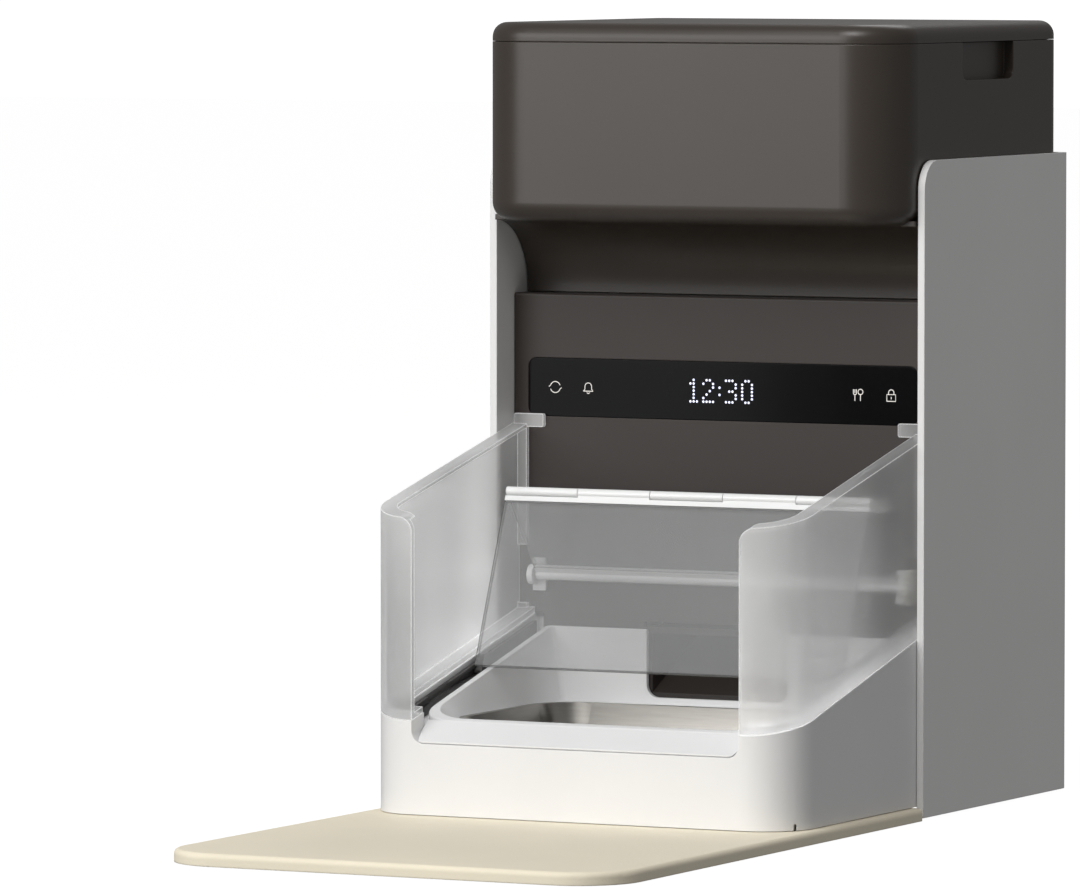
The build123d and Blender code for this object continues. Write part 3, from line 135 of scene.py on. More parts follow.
class Graph:
    """The node tree of one material, with one method for every kind of node."""

    def __init__(self, tree: bpy.types.NodeTree) -> None:
        """Starts from an empty tree."""
        self.tree = tree
        tree.nodes.clear()

    def node(
        self,
        kind: str,
        settings: Mapping[str, Any] | None = None,
        inputs: Mapping[Union[str, int], Any] | None = None,
    ) -> bpy.types.Node:
        """Adds a node.

        Args:
            kind: the node's type.
            settings: attributes, set first.
            inputs: a value or a Wire for each named or numbered socket.

        Returns:
            The new node.
        """
        made = self.tree.nodes.new(kind)
        for name, value in (settings or {}).items():
            setattr(made, name, value)
        for name, value in (inputs or {}).items():
            socket = made.inputs[name]
            if isinstance(value, Wire):
                self.tree.links.new(value.socket, socket)
            else:
                socket.default_value = (*value, 1.0) if socket.type == "RGBA" else value
        return made

    def place(self) -> Wire:
        """Position in the piece's own space, which is the row frame at rest."""
        return Wire(self, self.node("ShaderNodeTexCoord").outputs["Object"])

    def noise(self, scale: float, detail: float = 3.0, stretch: Point = (1.0, 1.0, 1.0)) -> Wire:
        """Fractal noise.

        Args:
            scale: features per metre.
            detail: octaves.
            stretch: scale along each axis.

        Returns:
            A value about 0.5.
        """
        spot = self.node("ShaderNodeVectorMath", {"operation": "MULTIPLY"}, {0: self.place(), 1: stretch})
        inputs = {"Vector": Wire(self, spot.outputs[0]), "Scale": scale, "Detail": detail}
        return Wire(self, self.node("ShaderNodeTexNoise", None, inputs).outputs["Fac"])

    def cells(self, scale: float) -> Wire:
        """Distance to the nearest point of a fine cell pattern."""
        made = self.node("ShaderNodeTexVoronoi", None, {"Vector": self.place(), "Scale": scale})
        return Wire(self, made.outputs["Distance"])

    def blend(self, amount: Operand, first: Any, second: Any) -> Wire:
        """Mixes two colours.

        Args:
            amount: 0 gives the first colour, 1 the second.
            first: a colour or a Wire.
            second: a colour or a Wire.

        Returns:
            The mixed colour.
        """
        made = self.node("ShaderNodeMix", {"data_type": "RGBA"}, {0: amount, 6: first, 7: second})
        return Wire(self, made.outputs[2])

    def drifting(self, cloud: Wire, colour: Colour, dark: float, light: float) -> Wire:
        """A colour that drifts slowly over the surface.

        Args:
            cloud: noise that the drift follows.
            colour: the middle colour.
            dark: factor where the noise is low.
            light: factor where it is high.

        Returns:
            The drifting colour.
        """
        return self.blend(cloud.ramp(*CLOUD_RANGE), shade(colour, dark), shade(colour, light))

    def soft_edges(self, radius: float) -> Wire:
        """Normal that rounds every sharp edge a little."""
        made = self.node("ShaderNodeBevel", {"samples": BEVEL_SAMPLES}, {"Radius": radius})
        return Wire(self, made.outputs[0])

    def edge_line(self, width: float) -> Wire:
        """Mask of the narrow bands beside sharp edges.

        Args:
            width: how far a band reaches from its edge.

        Returns:
            1 on an edge, 0 away from it.
        """
        flat = Wire(self, self.node("ShaderNodeNewGeometry").outputs["Normal"])
        inputs = {0: self.soft_edges(width), 1: flat}
        same = self.node("ShaderNodeVectorMath", {"operation": "DOT_PRODUCT"}, inputs)
        return (1.0 - Wire(self, same.outputs["Value"])).ramp(*EDGE_TURN)

    def bump(self, height: Wire, depth: float, normal: Wire | None = None) -> Wire:
        """Normal of a fine relief.

        Args:
            height: the relief, 0 to 1.
            depth: its depth in metres.
            normal: the normal that it lies on.

        Returns:
            The bumped normal.
        """
        inputs: dict[Union[str, int], Any] = {"Height": height, "Distance": depth, "Strength": 1.0}
        if normal is not None:
            inputs["Normal"] = normal
        return Wire(self, self.node("ShaderNodeBump", None, inputs).outputs[0])

    def show(self, shader: bpy.types.Node, output: str = "ShaderNodeOutputMaterial") -> None:
        """Joins a shader node to the tree's output.

        Args:
            shader: the node whose first output is shown.
            output: the output node's type.
        """
        self.node(output, None, {0: Wire(self, shader.outputs[0])})

    def finish(self, sockets: Mapping[str, Any]) -> None:
        """Feeds a Principled shader and shows it."""
        self.show(self.node("ShaderNodeBsdfPrincipled", None, sockets))


def shade(colour: Colour, factor: float) -> Colour:
    """A colour made lighter or darker."""
    red, green, blue = (min(1.0, c * factor) for c in colour)
    return red, green, blue


def new_material(name: str) -> tuple[bpy.types.Material, Graph]:
    """Starts a material.

    Args:
        name: the material's name.

    Returns:
        The material and its empty graph.
    """
    material = bpy.data.materials.new(name)
    material.use_nodes = True
    return material, Graph(material.node_tree)


# ---- finishes ------------------------------------------------------------------------------------
class Grain(Enum):
    """Surface left by the mould: features per metre and depth."""

    POLISHED = (900.0, 0.003 * MM)
    SATIN = (1700.0, 0.015 * MM)
    SPARKED = (1100.0, 0.04 * MM)


@dataclass(frozen=True)
class Plastic:
    """Moulded opaque plastic: slight colour drift, mould grain, softened edges lightened partly as faint
    wear and partly as a painted highlight.
    """

    name: str
    colour: Colour
    roughness: float = 0.42
    grain: Grain = Grain.SATIN
    drift: float = 0.04
    edge: float = 0.5 * MM
    specular: float = 0.5
    coat: float = 0.0
    edge_wear_and_highlight: float = 1.12
    edge_wear_and_highlight_share: float = 0.7
    cloud_scale: float = 14.0
    cloud_gloss: float = 0.08
    grain_gloss: float = 0.10
    edge_gloss: float = 0.06
    coat_roughness: float = 0.12

    def material(self) -> bpy.types.Material:
        """Builds the material.

        Returns:
            The new material.
        """
        material, g = new_material(self.name)
        scale, depth = self.grain.value
        cloud = g.noise(self.cloud_scale, 4.0)
        relief = g.noise(scale, 2.0)
        edge = g.edge_line(self.edge)
        base = g.drifting(cloud, self.colour, 1 - self.drift, 1 + self.drift)
        gloss = (cloud - 0.5) * self.cloud_gloss + (relief - 0.5) * self.grain_gloss
        g.finish(
            {
                # Edges are lightened: partly faint wear, partly a painted highlight along the bevels.
                "Base Color": g.blend(edge * self.edge_wear_and_highlight_share, base, shade(self.colour, self.edge_wear_and_highlight)),
                "Roughness": self.roughness + gloss - edge * self.edge_gloss,
                "Specular IOR Level": self.specular,
                "Coat Weight": self.coat,
                "Coat Roughness": self.coat_roughness,
                "Normal": g.bump(relief, depth, g.soft_edges(self.edge)),
            }
        )
        return material


@dataclass(frozen=True)
class Clear:
    """Clear or milky moulded plastic whose cut edges look denser; on the guards a white edge colour and an
    edge glow paint a highlight along the edges.
    """

    name: str
    colour: Colour
    edge_colour: Colour
    body: float
    edge_body: float
    edge: float
    roughness: float = 0.08
    haze: float = 0.05
    patch: float = 0.0
    transmission: float = 0.0
    edge_highlight_glow: float = 0.0
    lets_light: float = 0.7
    haze_scale: float = 9.0
    haze_gloss: float = 0.06
    patch_scale: float = 13.0
    patch_stretch: Point = (1.0, 1.0, 0.35)
    rounding: float = 0.4 * MM
    index: float = 1.4

    def material(self) -> bpy.types.Material:
        """Builds the material.

        Returns:
            The new material.
        """
        material, g = new_material(self.name)
        cloud = g.noise(self.haze_scale, 3.0)
        patches = g.noise(self.patch_scale, 1.0, self.patch_stretch)
        edge = g.edge_line(self.edge)
        shadow = Wire(g, g.node("ShaderNodeLightPath").outputs["Is Shadow Ray"])
        base = g.drifting(patches, self.colour, 1 - self.patch, 1 + self.patch)
        cover = self.body + (cloud - 0.5) * self.haze + edge * (self.edge_body - self.body)
        # Edges take the edge colour; on the guards this is white, a painted highlight along the edges.
        sockets: dict[str, Any] = {
            "Base Color": g.blend(edge, base, self.edge_colour),
            "Alpha": cover * (1.0 - shadow * self.lets_light),
            "Roughness": self.roughness + (cloud - 0.5) * self.haze_gloss,
            "Transmission Weight": self.transmission,
            "IOR": self.index,
            "Normal": g.soft_edges(self.rounding),
        }
        # Emission along the edges is a painted highlight glow, not a lamp.
        if self.edge_highlight_glow > 0:
            sockets["Emission Color"] = g.blend(edge, BLACK, WHITE)
            sockets["Emission Strength"] = self.edge_highlight_glow
        g.finish(sockets)
        return material


@dataclass(frozen=True)
class Steel:
    """Drawn or brushed steel with fine lines along one axis."""

    name: str
    colour: Colour
    roughness: float
    lines: Point = (1.0, 30.0, 30.0)
    line_scale: float = 60.0
    line_gloss: float = 0.16
    line_depth: float = 0.012 * MM
    line_shades: tuple[float, float] = (0.82, 1.12)
    cloud_scale: float = 18.0
    cloud_gloss: float = 0.10
    rounding: float = 0.3 * MM

    def material(self) -> bpy.types.Material:
        """Builds the material.

        Returns:
            The new material.
        """
        material, g = new_material(self.name)
        cloud = g.noise(self.cloud_scale, 3.0)
        line = g.noise(self.line_scale, 4.0, self.lines)
        dark, light = self.line_shades
        gloss = (line - 0.5) * self.line_gloss + (cloud - 0.5) * self.cloud_gloss
        g.finish(
            {
                "Base Color": g.blend(line, shade(self.colour, dark), shade(self.colour, light)),
                "Metallic": 1.0,
                "Roughness": self.roughness + gloss,
                "Normal": g.bump(line, self.line_depth, g.soft_edges(self.rounding)),
            }
        )
        return material


@dataclass(frozen=True)
class Rubber:
    """Soft rubber or silicone with a fine matt grain."""

    name: str
    colour: Colour
    roughness: float = 0.7
    grain: float = 900.0
    depth: float = 0.05 * MM
    sheen: float = 0.15
    edge: float = 0.8 * MM
    cloud_scale: float = 7.0
    cloud_gloss: float = 0.12
    cloud_shades: tuple[float, float] = (0.97, 1.02)
    sheen_roughness: float = 0.5
    specular: float = 0.3

    def material(self) -> bpy.types.Material:
        """Builds the material.

        Returns:
            The new material.
        """
        material, g = new_material(self.name)
        cloud = g.noise(self.cloud_scale, 5.0)
        g.finish(
            {
                "Base Color": g.drifting(cloud, self.colour, *self.cloud_shades),
                "Roughness": self.roughness + (cloud - 0.5) * self.cloud_gloss,
                "Sheen Weight": self.sheen,
                "Sheen Roughness": self.sheen_roughness,
                "Specular IOR Level": self.specular,
                "Normal": g.bump(g.cells(self.grain), self.depth, g.soft_edges(self.edge)),
            }
        )
        return material


@dataclass(frozen=True)
class Board:
    """Lacquered circuit board with tracks and pads."""

    name: str
    colour: Colour
    pad_colour: Colour = (0.55, 0.50, 0.40)
    track_scale: float = 160.0
    track_stretch: Point = (1.0, 0.2, 4.0)
    track_depth: float = 0.03 * MM
    pad_scale: float = 260.0
    roughness: float = 0.28

    def material(self) -> bpy.types.Material:
        """Builds the material.

        Returns:
            The new material.
        """
        material, g = new_material(self.name)
        tracks = g.noise(self.track_scale, 0.0, self.track_stretch).ramp(0.52, 0.54)
        pads = g.cells(self.pad_scale).ramp(0.20, 0.16)
        base = g.blend(tracks, self.colour, shade(self.colour, 2.0))
        g.finish(
            {
                "Base Color": g.blend(pads, base, self.pad_colour),
                "Roughness": self.roughness + pads * 0.1,
                "Normal": g.bump(tracks, self.track_depth),
            }
        )
        return material


@dataclass(frozen=True)
class Lamp:
    """Lit marking seen through a dark window."""

    name: str
    colour: Colour
    strength: float

    def material(self) -> bpy.types.Material:
        """Builds the material.

        Returns:
            The new material.
        """
        material, g = new_material(self.name)
        g.finish(
            {
                "Base Color": shade(self.colour, 0.6),
                "Emission Color": g.blend(g.noise(700.0), shade(self.colour, 0.94), self.colour),
                "Emission Strength": self.strength,
                "Roughness": 0.4,
            }
        )
        return material


Finish = Union[Plastic, Clear, Steel, Rubber, Board, Lamp]

FINISHES: dict[str, Finish] = {
    "mat_cream": Rubber("Mat_cream", (0.88, 0.80, 0.63), 0.62, grain=650.0, sheen=0.1, edge=1.0 * MM),
    "base_white": Plastic(
        "Base_white", (0.825, 0.824, 0.825), 0.36, Grain.SATIN, drift=0.012, edge=0.6 * MM, edge_wear_and_highlight=1.03
    ),
    "shell_light": Plastic(
        "Outer_white", (0.84, 0.835, 0.825), 0.45, Grain.SPARKED, drift=0.012, edge=0.8 * MM, edge_wear_and_highlight=1.06
    ),
    "underside_grey": Plastic("Underside_grey", (0.60, 0.60, 0.59), 0.55, Grain.SPARKED, 0.03),
    "foot_rubber": Rubber("Foot_rubber", (0.20, 0.20, 0.20)),
    "cell_jacket": Plastic("Cell_jacket", (0.10, 0.20, 0.34), 0.25, Grain.POLISHED, 0.1),
    "steel": Steel("Plain_steel", (0.62, 0.62, 0.63), 0.28),
    # The bowl steel is darkened and tinted brown as a painted reflection of its dark surroundings.
    "bowl_steel": Steel("Bowl_steel", (0.36, 0.345, 0.32), 0.34, lines=(1.0, 1.0, 14.0)),
    "inlet_black": Plastic("Inlet_black", (0.02, 0.02, 0.02), 0.5),
    # The guard's white edge colour and edge glow are a painted highlight along its edges.
    "guard_clear": Clear(
        "Guard_milky", (0.80, 0.805, 0.805), WHITE, body=0.56, edge_body=0.97, edge=1.0 * MM,
        roughness=0.30, haze=0.16, patch=0.34, transmission=0.60, edge_highlight_glow=0.25,
    ),
    "leaf_clear": Clear(
        "Leaf_clear", (0.38, 0.385, 0.385), (0.03, 0.03, 0.03), body=0.34, edge_body=0.92, edge=1.3 * MM,
        roughness=0.06, haze=0.03, patch=0.03,
    ),
    "rail_dark": Plastic("Rail_dark", (0.060, 0.058, 0.056), 0.38, Grain.SATIN, 0.04),
    "bar_white": Plastic(
        "Bar_white", (0.88, 0.885, 0.88), 0.22, Grain.POLISHED, drift=0.02, edge=0.6 * MM, coat=0.3
    ),
    "gear_nylon": Plastic("Gear_nylon", (0.72, 0.70, 0.62), 0.45, Grain.SATIN, 0.03),
    "motor_can": Steel("Motor_can", (0.52, 0.52, 0.53), 0.32),
    # The dark hopper and panel get much lighter edges, mostly a painted highlight along the bevels.
    "hopper_brown": Plastic("Hopper_brown", (0.043, 0.034, 0.027), 0.36, edge=0.8 * MM, edge_wear_and_highlight=1.5),
    "panel_brown": Plastic("Panel_brown", (0.029, 0.0215, 0.018), 0.52, edge=0.6 * MM, edge_wear_and_highlight=1.5),
    "liner_grey": Plastic("Liner_grey", (0.30, 0.29, 0.28), 0.5, Grain.SPARKED, 0.03),
    "seal_rubber": Rubber("Seal_rubber", (0.62, 0.62, 0.60)),
    "display_black": Plastic(
        "Display_black", (0.003, 0.003, 0.0035), 0.10, Grain.POLISHED,
        drift=0.1, edge=0.4 * MM, specular=0.12,
    ),
    "board_green": Board("Board_green", (0.02, 0.12, 0.05)),
    "wheel_soft": Rubber("Wheel_soft", (0.45, 0.44, 0.42)),
    "chute_dark": Plastic("Chute_dark", (0.022, 0.017, 0.014), 0.5, Grain.SATIN, 0.05),
    "coil_copper": Steel("Coil_copper", (0.72, 0.38, 0.20), 0.35, lines=(30.0, 30.0, 1.0)),
}


@dataclass
class Paintshop:
    """Keeps one material for each finish and puts it on nodes and pieces."""

    slots: Mapping[str, str]
    made: dict[str, bpy.types.Material] = field(default_factory=dict)

    def material(self, finish: Finish) -> bpy.types.Material:
        """Builds the material of a finish, or finds the one built before.

        Args:
            finish: the finish.

        Returns:
            Its material.
        """
        if finish.name not in self.made:
            self.made[finish.name] = finish.material()
        return self.made[finish.name]

    def dress(self, node: str) -> None:
        """Gives a CAD node the finish of its slot.

        Args:
            node: the node's name.
        """
        material = self.material(FINISHES[self.slots[node]])
        part = frame["nodes"][node]
        part.data.materials.clear()
        part.data.materials.append(material)
        LOG.info("dressed %s with %s", node, material.name)


# ---- mesh building -------------------------------------------------------------------------------
class Side(Enum):
    """Which way a drawn piece faces: its right, its up and its outward direction."""

    FRONT = ((1, 0, 0), (0, 0, 1), (0, -1, 0))
    BACK = ((-1, 0, 0), (0, 0, 1), (0, 1, 0))
    UNDER = ((1, 0, 0), (0, -1, 0), (0, 0, -1))


class Drawing:
    """Raised strokes, dots and rings on a flat face of the object."""

    def __init__(self, side: Side, origin: Point) -> None:
        """Starts an empty drawing.

        Args:
            side: which way the face looks.
            origin: a point of the face, from which places are measured.
        """
        self.mesh = bmesh.new()
        self.origin = Vector(origin)
        self.right, self.up, self.out = (Vector(axis) for axis in side.value)

    def spot(self, u: float, v: float, height: float) -> bmesh.types.BMVert:
        """A vertex at a place on the face, some height above it."""
        return self.mesh.verts.new(self.origin + self.right * u + self.up * v + self.out * height)

    def band(self, loops: Sequence[Sequence[bmesh.types.BMVert]], closed: bool) -> None:
        """Joins neighbouring loops of vertices with quads.

        Args:
            loops: closed loops with the same number of vertices.
            closed: whether the last loop joins the first.
        """
        pairs = list(zip(loops, loops[1:])) + ([(loops[-1], loops[0])] if closed else [])
        for low, high in pairs:
            count = len(low)
            for i in range(count):
                j = (i + 1) % count
                self.mesh.faces.new((low[i], low[j], high[j], high[i]))

    def circle(
        self, u: float, v: float, radius: float, height: float, steps: int
    ) -> list[bmesh.types.BMVert]:
        """A closed loop of vertices round a place."""
        angles = [math.tau * i / steps for i in range(steps)]
        return [self.spot(u + radius * math.cos(a), v + radius * math.sin(a), height) for a in angles]

    def dot(self, u: float, v: float, radius: float, height: float, steps: int = 12) -> None:
        """Adds a small domed dot.

        Args:
            u: its place to the right.
            v: its place upwards.
            radius: its radius.
            height: how far it stands proud.
            steps: sides of each circle.
        """
        profile = ((1.0, 0.0), (0.92, 0.7), (0.6, 1.0))
        loops = [self.circle(u, v, radius * scale, height * rise, steps) for scale, rise in profile]
        self.band(loops, False)
        self.mesh.faces.new(loops[-1])
        self.mesh.faces.new(list(reversed(loops[0])))

    def ring(self, u: float, v: float, inner: float, outer: float, height: float, steps: int = 40) -> None:
        """Adds a raised ring with eased upper edges.

        Args:
            u: the centre's place to the right.
            v: the centre's place upwards.
            inner: the hole's radius.
            outer: the outer radius.
            height: how far it stands proud.
            steps: sides of each circle.
        """
        ease = min(height, outer - inner) * 0.3
        profile = (
            (outer, 0.0), (outer, height - ease), (outer - ease, height), (inner + ease, height),
            (inner, height - ease), (inner, 0.0),
        )
        self.band([self.circle(u, v, radius, rise, steps) for radius, rise in profile], True)

    def stroke(self, points: Sequence[Flat], width: float, height: float) -> None:
        """Adds a raised line along points.

        Args:
            points: the line's places on the face.
            width: the line's width.
            height: how far it stands proud.
        """
        sections = []
        for i, (u, v) in enumerate(points):
            before = points[max(i - 1, 0)]
            after = points[min(i + 1, len(points) - 1)]
            run = Vector((after[0] - before[0], after[1] - before[1])).normalized()
            across = Vector((-run.y, run.x)) * (width / 2)
            outline = ((1.0, 0.0), (0.8, height), (-0.8, height), (-1.0, 0.0))
            sections.append([self.spot(u + across.x * s, v + across.y * s, rise) for s, rise in outline])
        self.band(sections, False)
        self.mesh.faces.new(sections[0])
        self.mesh.faces.new(list(reversed(sections[-1])))

    def piece(self, name: str, material: bpy.types.Material, body: str, slot: str) -> bpy.types.Object:
        """Turns the drawing into a piece that rides on a body.

        Args:
            name: the piece's name.
            material: its material.
            body: the CAD body that carries it.
            slot: the record's material slot, not used.

        Returns:
            The new object.
        """
        bmesh.ops.recalc_face_normals(self.mesh, faces=self.mesh.faces)
        data = bpy.data.meshes.new(name)
        self.mesh.to_mesh(data)
        self.mesh.free()
        data.materials.append(material)
        made = bpy.data.objects.new(name, data)
        bpy.context.scene.collection.objects.link(made)
        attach(made, body)
        LOG.info("made %s on %s", name, body)
        return made


def arc(centre: Flat, radius: float, start: float, end: float, steps: int = 10) -> list[Flat]:
    """Points of an arc, angles in degrees."""
    angles = [math.radians(start + (end - start) * i / steps) for i in range(steps + 1)]
    return [(centre[0] + radius * math.cos(a), centre[1] + radius * math.sin(a)) for a in angles]


# ---- sub-assemblies ------------------------------------------------------------------------------
@dataclass
class Assembly:
    """Nodes that are dressed together, with the small pieces that belong to them."""

    shop: Paintshop
    nodes: tuple[str, ...] = ()
    body: str = "chassis"

    def build(self) -> None:
        """Dresses the nodes and adds the assembly's own pieces."""
        for node in self.nodes:
            self.shop.dress(node)
        self.add_pieces()
        LOG.info("%s ready: %d nodes", type(self).__name__, len(self.nodes))

    def add_pieces(self) -> None:
        """Adds nothing unless the assembly has pieces of its own."""

    def attach(self, drawing: Drawing, name: str, slot: str, body: str | None = None) -> None:
        """Turns a drawing into a piece with the finish of a slot.

        Args:
            drawing: the drawn shape.
            name: the piece's name.
            slot: the record's material slot.
            body: the body that carries it, if not the assembly's own.
        """
        drawing.piece(name, self.shop.material(FINISHES[slot]), body or self.body, slot)


@dataclass
class FloorMat(Assembly):
    """Cream silicone mat under the front of the feeder."""

    nodes: tuple[str, ...] = ("mat",)


@dataclass
class Foot(Assembly):
    """White foot with its underside plate, feet, cells, screws and speaker."""

    nodes: tuple[str, ...] = (
        "base_shell", "bottom_cover", "rubber_feet", "battery_bay", "battery_cells", "battery_contacts",
        "battery_door", "case_screws", "speaker",
    )
    hole_pitch: float = 4.4 * MM
    hole_radius: float = 1.1 * MM
    hole_rings: int = 3
    lip: float = 0.15 * MM
    rim_share: float = 1.3
    arrow_width: float = 1.4 * MM
    arrow_reach: float = 6.0 * MM
    arrow_offset: float = 62.0 * MM

    def add_pieces(self) -> None:
        """Adds the speaker's sound holes, drawn as painted-shade dots with rims, and the battery door's
        arrows.
        """
        self.add_sound_holes()
        self.add_arrows()

    def add_sound_holes(self) -> None:
        """Adds a hexagon of black dots, painted shade standing for the sound holes, with raised rims under
        the speaker.
        """
        low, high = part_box("speaker")
        plate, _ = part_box("bottom_cover")
        foot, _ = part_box("base_shell")
        face = max(plate.z, foot.z)
        middle = (low + high) / 2
        hole_shade = Drawing(Side.UNDER, (middle.x, middle.y, face))
        rims = Drawing(Side.UNDER, (middle.x, middle.y, face))
        for q in range(-self.hole_rings, self.hole_rings + 1):
            for r in range(-self.hole_rings, self.hole_rings + 1):
                if abs(q + r) <= self.hole_rings:
                    u = (q + r / 2) * self.hole_pitch
                    v = r * math.sqrt(3) / 2 * self.hole_pitch
                    # Each hole is a black dot: painted shade where the inside of the hole would be.
                    hole_shade.dot(u, v, self.hole_radius, self.lip * 0.3)
                    rims.ring(u, v, self.hole_radius, self.hole_radius * self.rim_share, self.lip, 16)
        self.attach(hole_shade, "Sound_hole_shade", "inlet_black")
        self.attach(rims, "Sound_hole_rims", "underside_grey")

    def add_arrows(self) -> None:
        """Adds the raised arrows that show which way the battery door slides."""
        low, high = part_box("battery_door")
        arrows = Drawing(Side.UNDER, ((low.x + high.x) / 2, (low.y + high.y) / 2, low.z))
        reach = self.arrow_reach
        head = [(-reach * 0.6, reach * 0.3), (0.0, reach), (reach * 0.6, reach * 0.3)]
        for middle in (-self.arrow_offset, self.arrow_offset):
            arrows.stroke([(u + middle, v) for u, v in head], self.arrow_width, self.lip)
            arrows.stroke([(middle, -reach), (middle, reach * 0.8)], self.arrow_width, self.lip)
        self.attach(arrows, "Slide_arrows", "underside_grey", "battery_cover")


@dataclass
class Casing(Assembly):
    """Light wrap-round shell with the power socket."""

    nodes: tuple[str, ...] = ("outer_shell", "power_inlet")
    ring_inner: float = 4.6 * MM
    ring_outer: float = 5.4 * MM
    ring_height: float = 0.35 * MM

    def add_pieces(self) -> None:
        """Adds the raised ring round the socket's mouth."""
        low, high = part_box("power_inlet")
        middle = (low + high) / 2
        ring = Drawing(Side.BACK, (middle.x, high.y, middle.z))
        ring.ring(0.0, 0.0, self.ring_inner, self.ring_outer, self.ring_height)
        self.attach(ring, "Socket_ring", "inlet_black")


@dataclass
class Hopper(Assembly):
    """Dark food hopper with its lid, seal, liner and desiccant box."""

    nodes: tuple[str, ...] = (
        "hopper_body", "lid_cap", "lid_liner", "lid_seal", "desiccant_box", "desiccant_cover",
    )


@dataclass
class Guards(Assembly):
    """Milky side guards with the dark guide rails behind them and the hinge ears."""

    nodes: tuple[str, ...] = (
        "guard_left", "guard_right", "guide_rail_left", "guide_rail_right", "hinge_bracket_left",
        "hinge_bracket_right",
    )


@dataclass
class Cover(Assembly):
    """Clear folding cover with its bars, pins, drive gears and motor."""

    nodes: tuple[str, ...] = (
        "rear_leaf", "front_leaf", "rear_hinge_bar", "fold_bar_rear", "fold_bar_front", "fold_pin",
        "hinge_stubs", "guide_shoes", "door_gear", "door_pinion", "door_motor", "door_motor_mount",
    )


@dataclass
class Tray(Assembly):
    """White tray with the steel bowl and the reader coil."""

    nodes: tuple[str, ...] = ("bowl_tray", "food_bowl", "antenna_coil")


@dataclass
class DosingUnit(Assembly):
    """Portion wheel in its housing, with the gear train, motor and chute."""

    nodes: tuple[str, ...] = (
        "dosing_housing", "dosing_cap", "gear_cover", "dosing_motor", "dosing_pinion", "portion_wheel",
        "wheel_shaft", "wheel_gear", "chute",
    )


DIGITS: dict[str, tuple[str, ...]] = {
    "0": ("0110", "1001", "1001", "1001", "1001", "1001", "0110"),
    "1": ("010", "110", "010", "010", "010", "010", "111"),
    "2": ("0110", "1001", "0001", "0010", "0100", "1000", "1111"),
    "3": ("1110", "0001", "0001", "0110", "0001", "0001", "1110"),
    ":": ("0", "0", "1", "0", "1", "0", "0"),
}


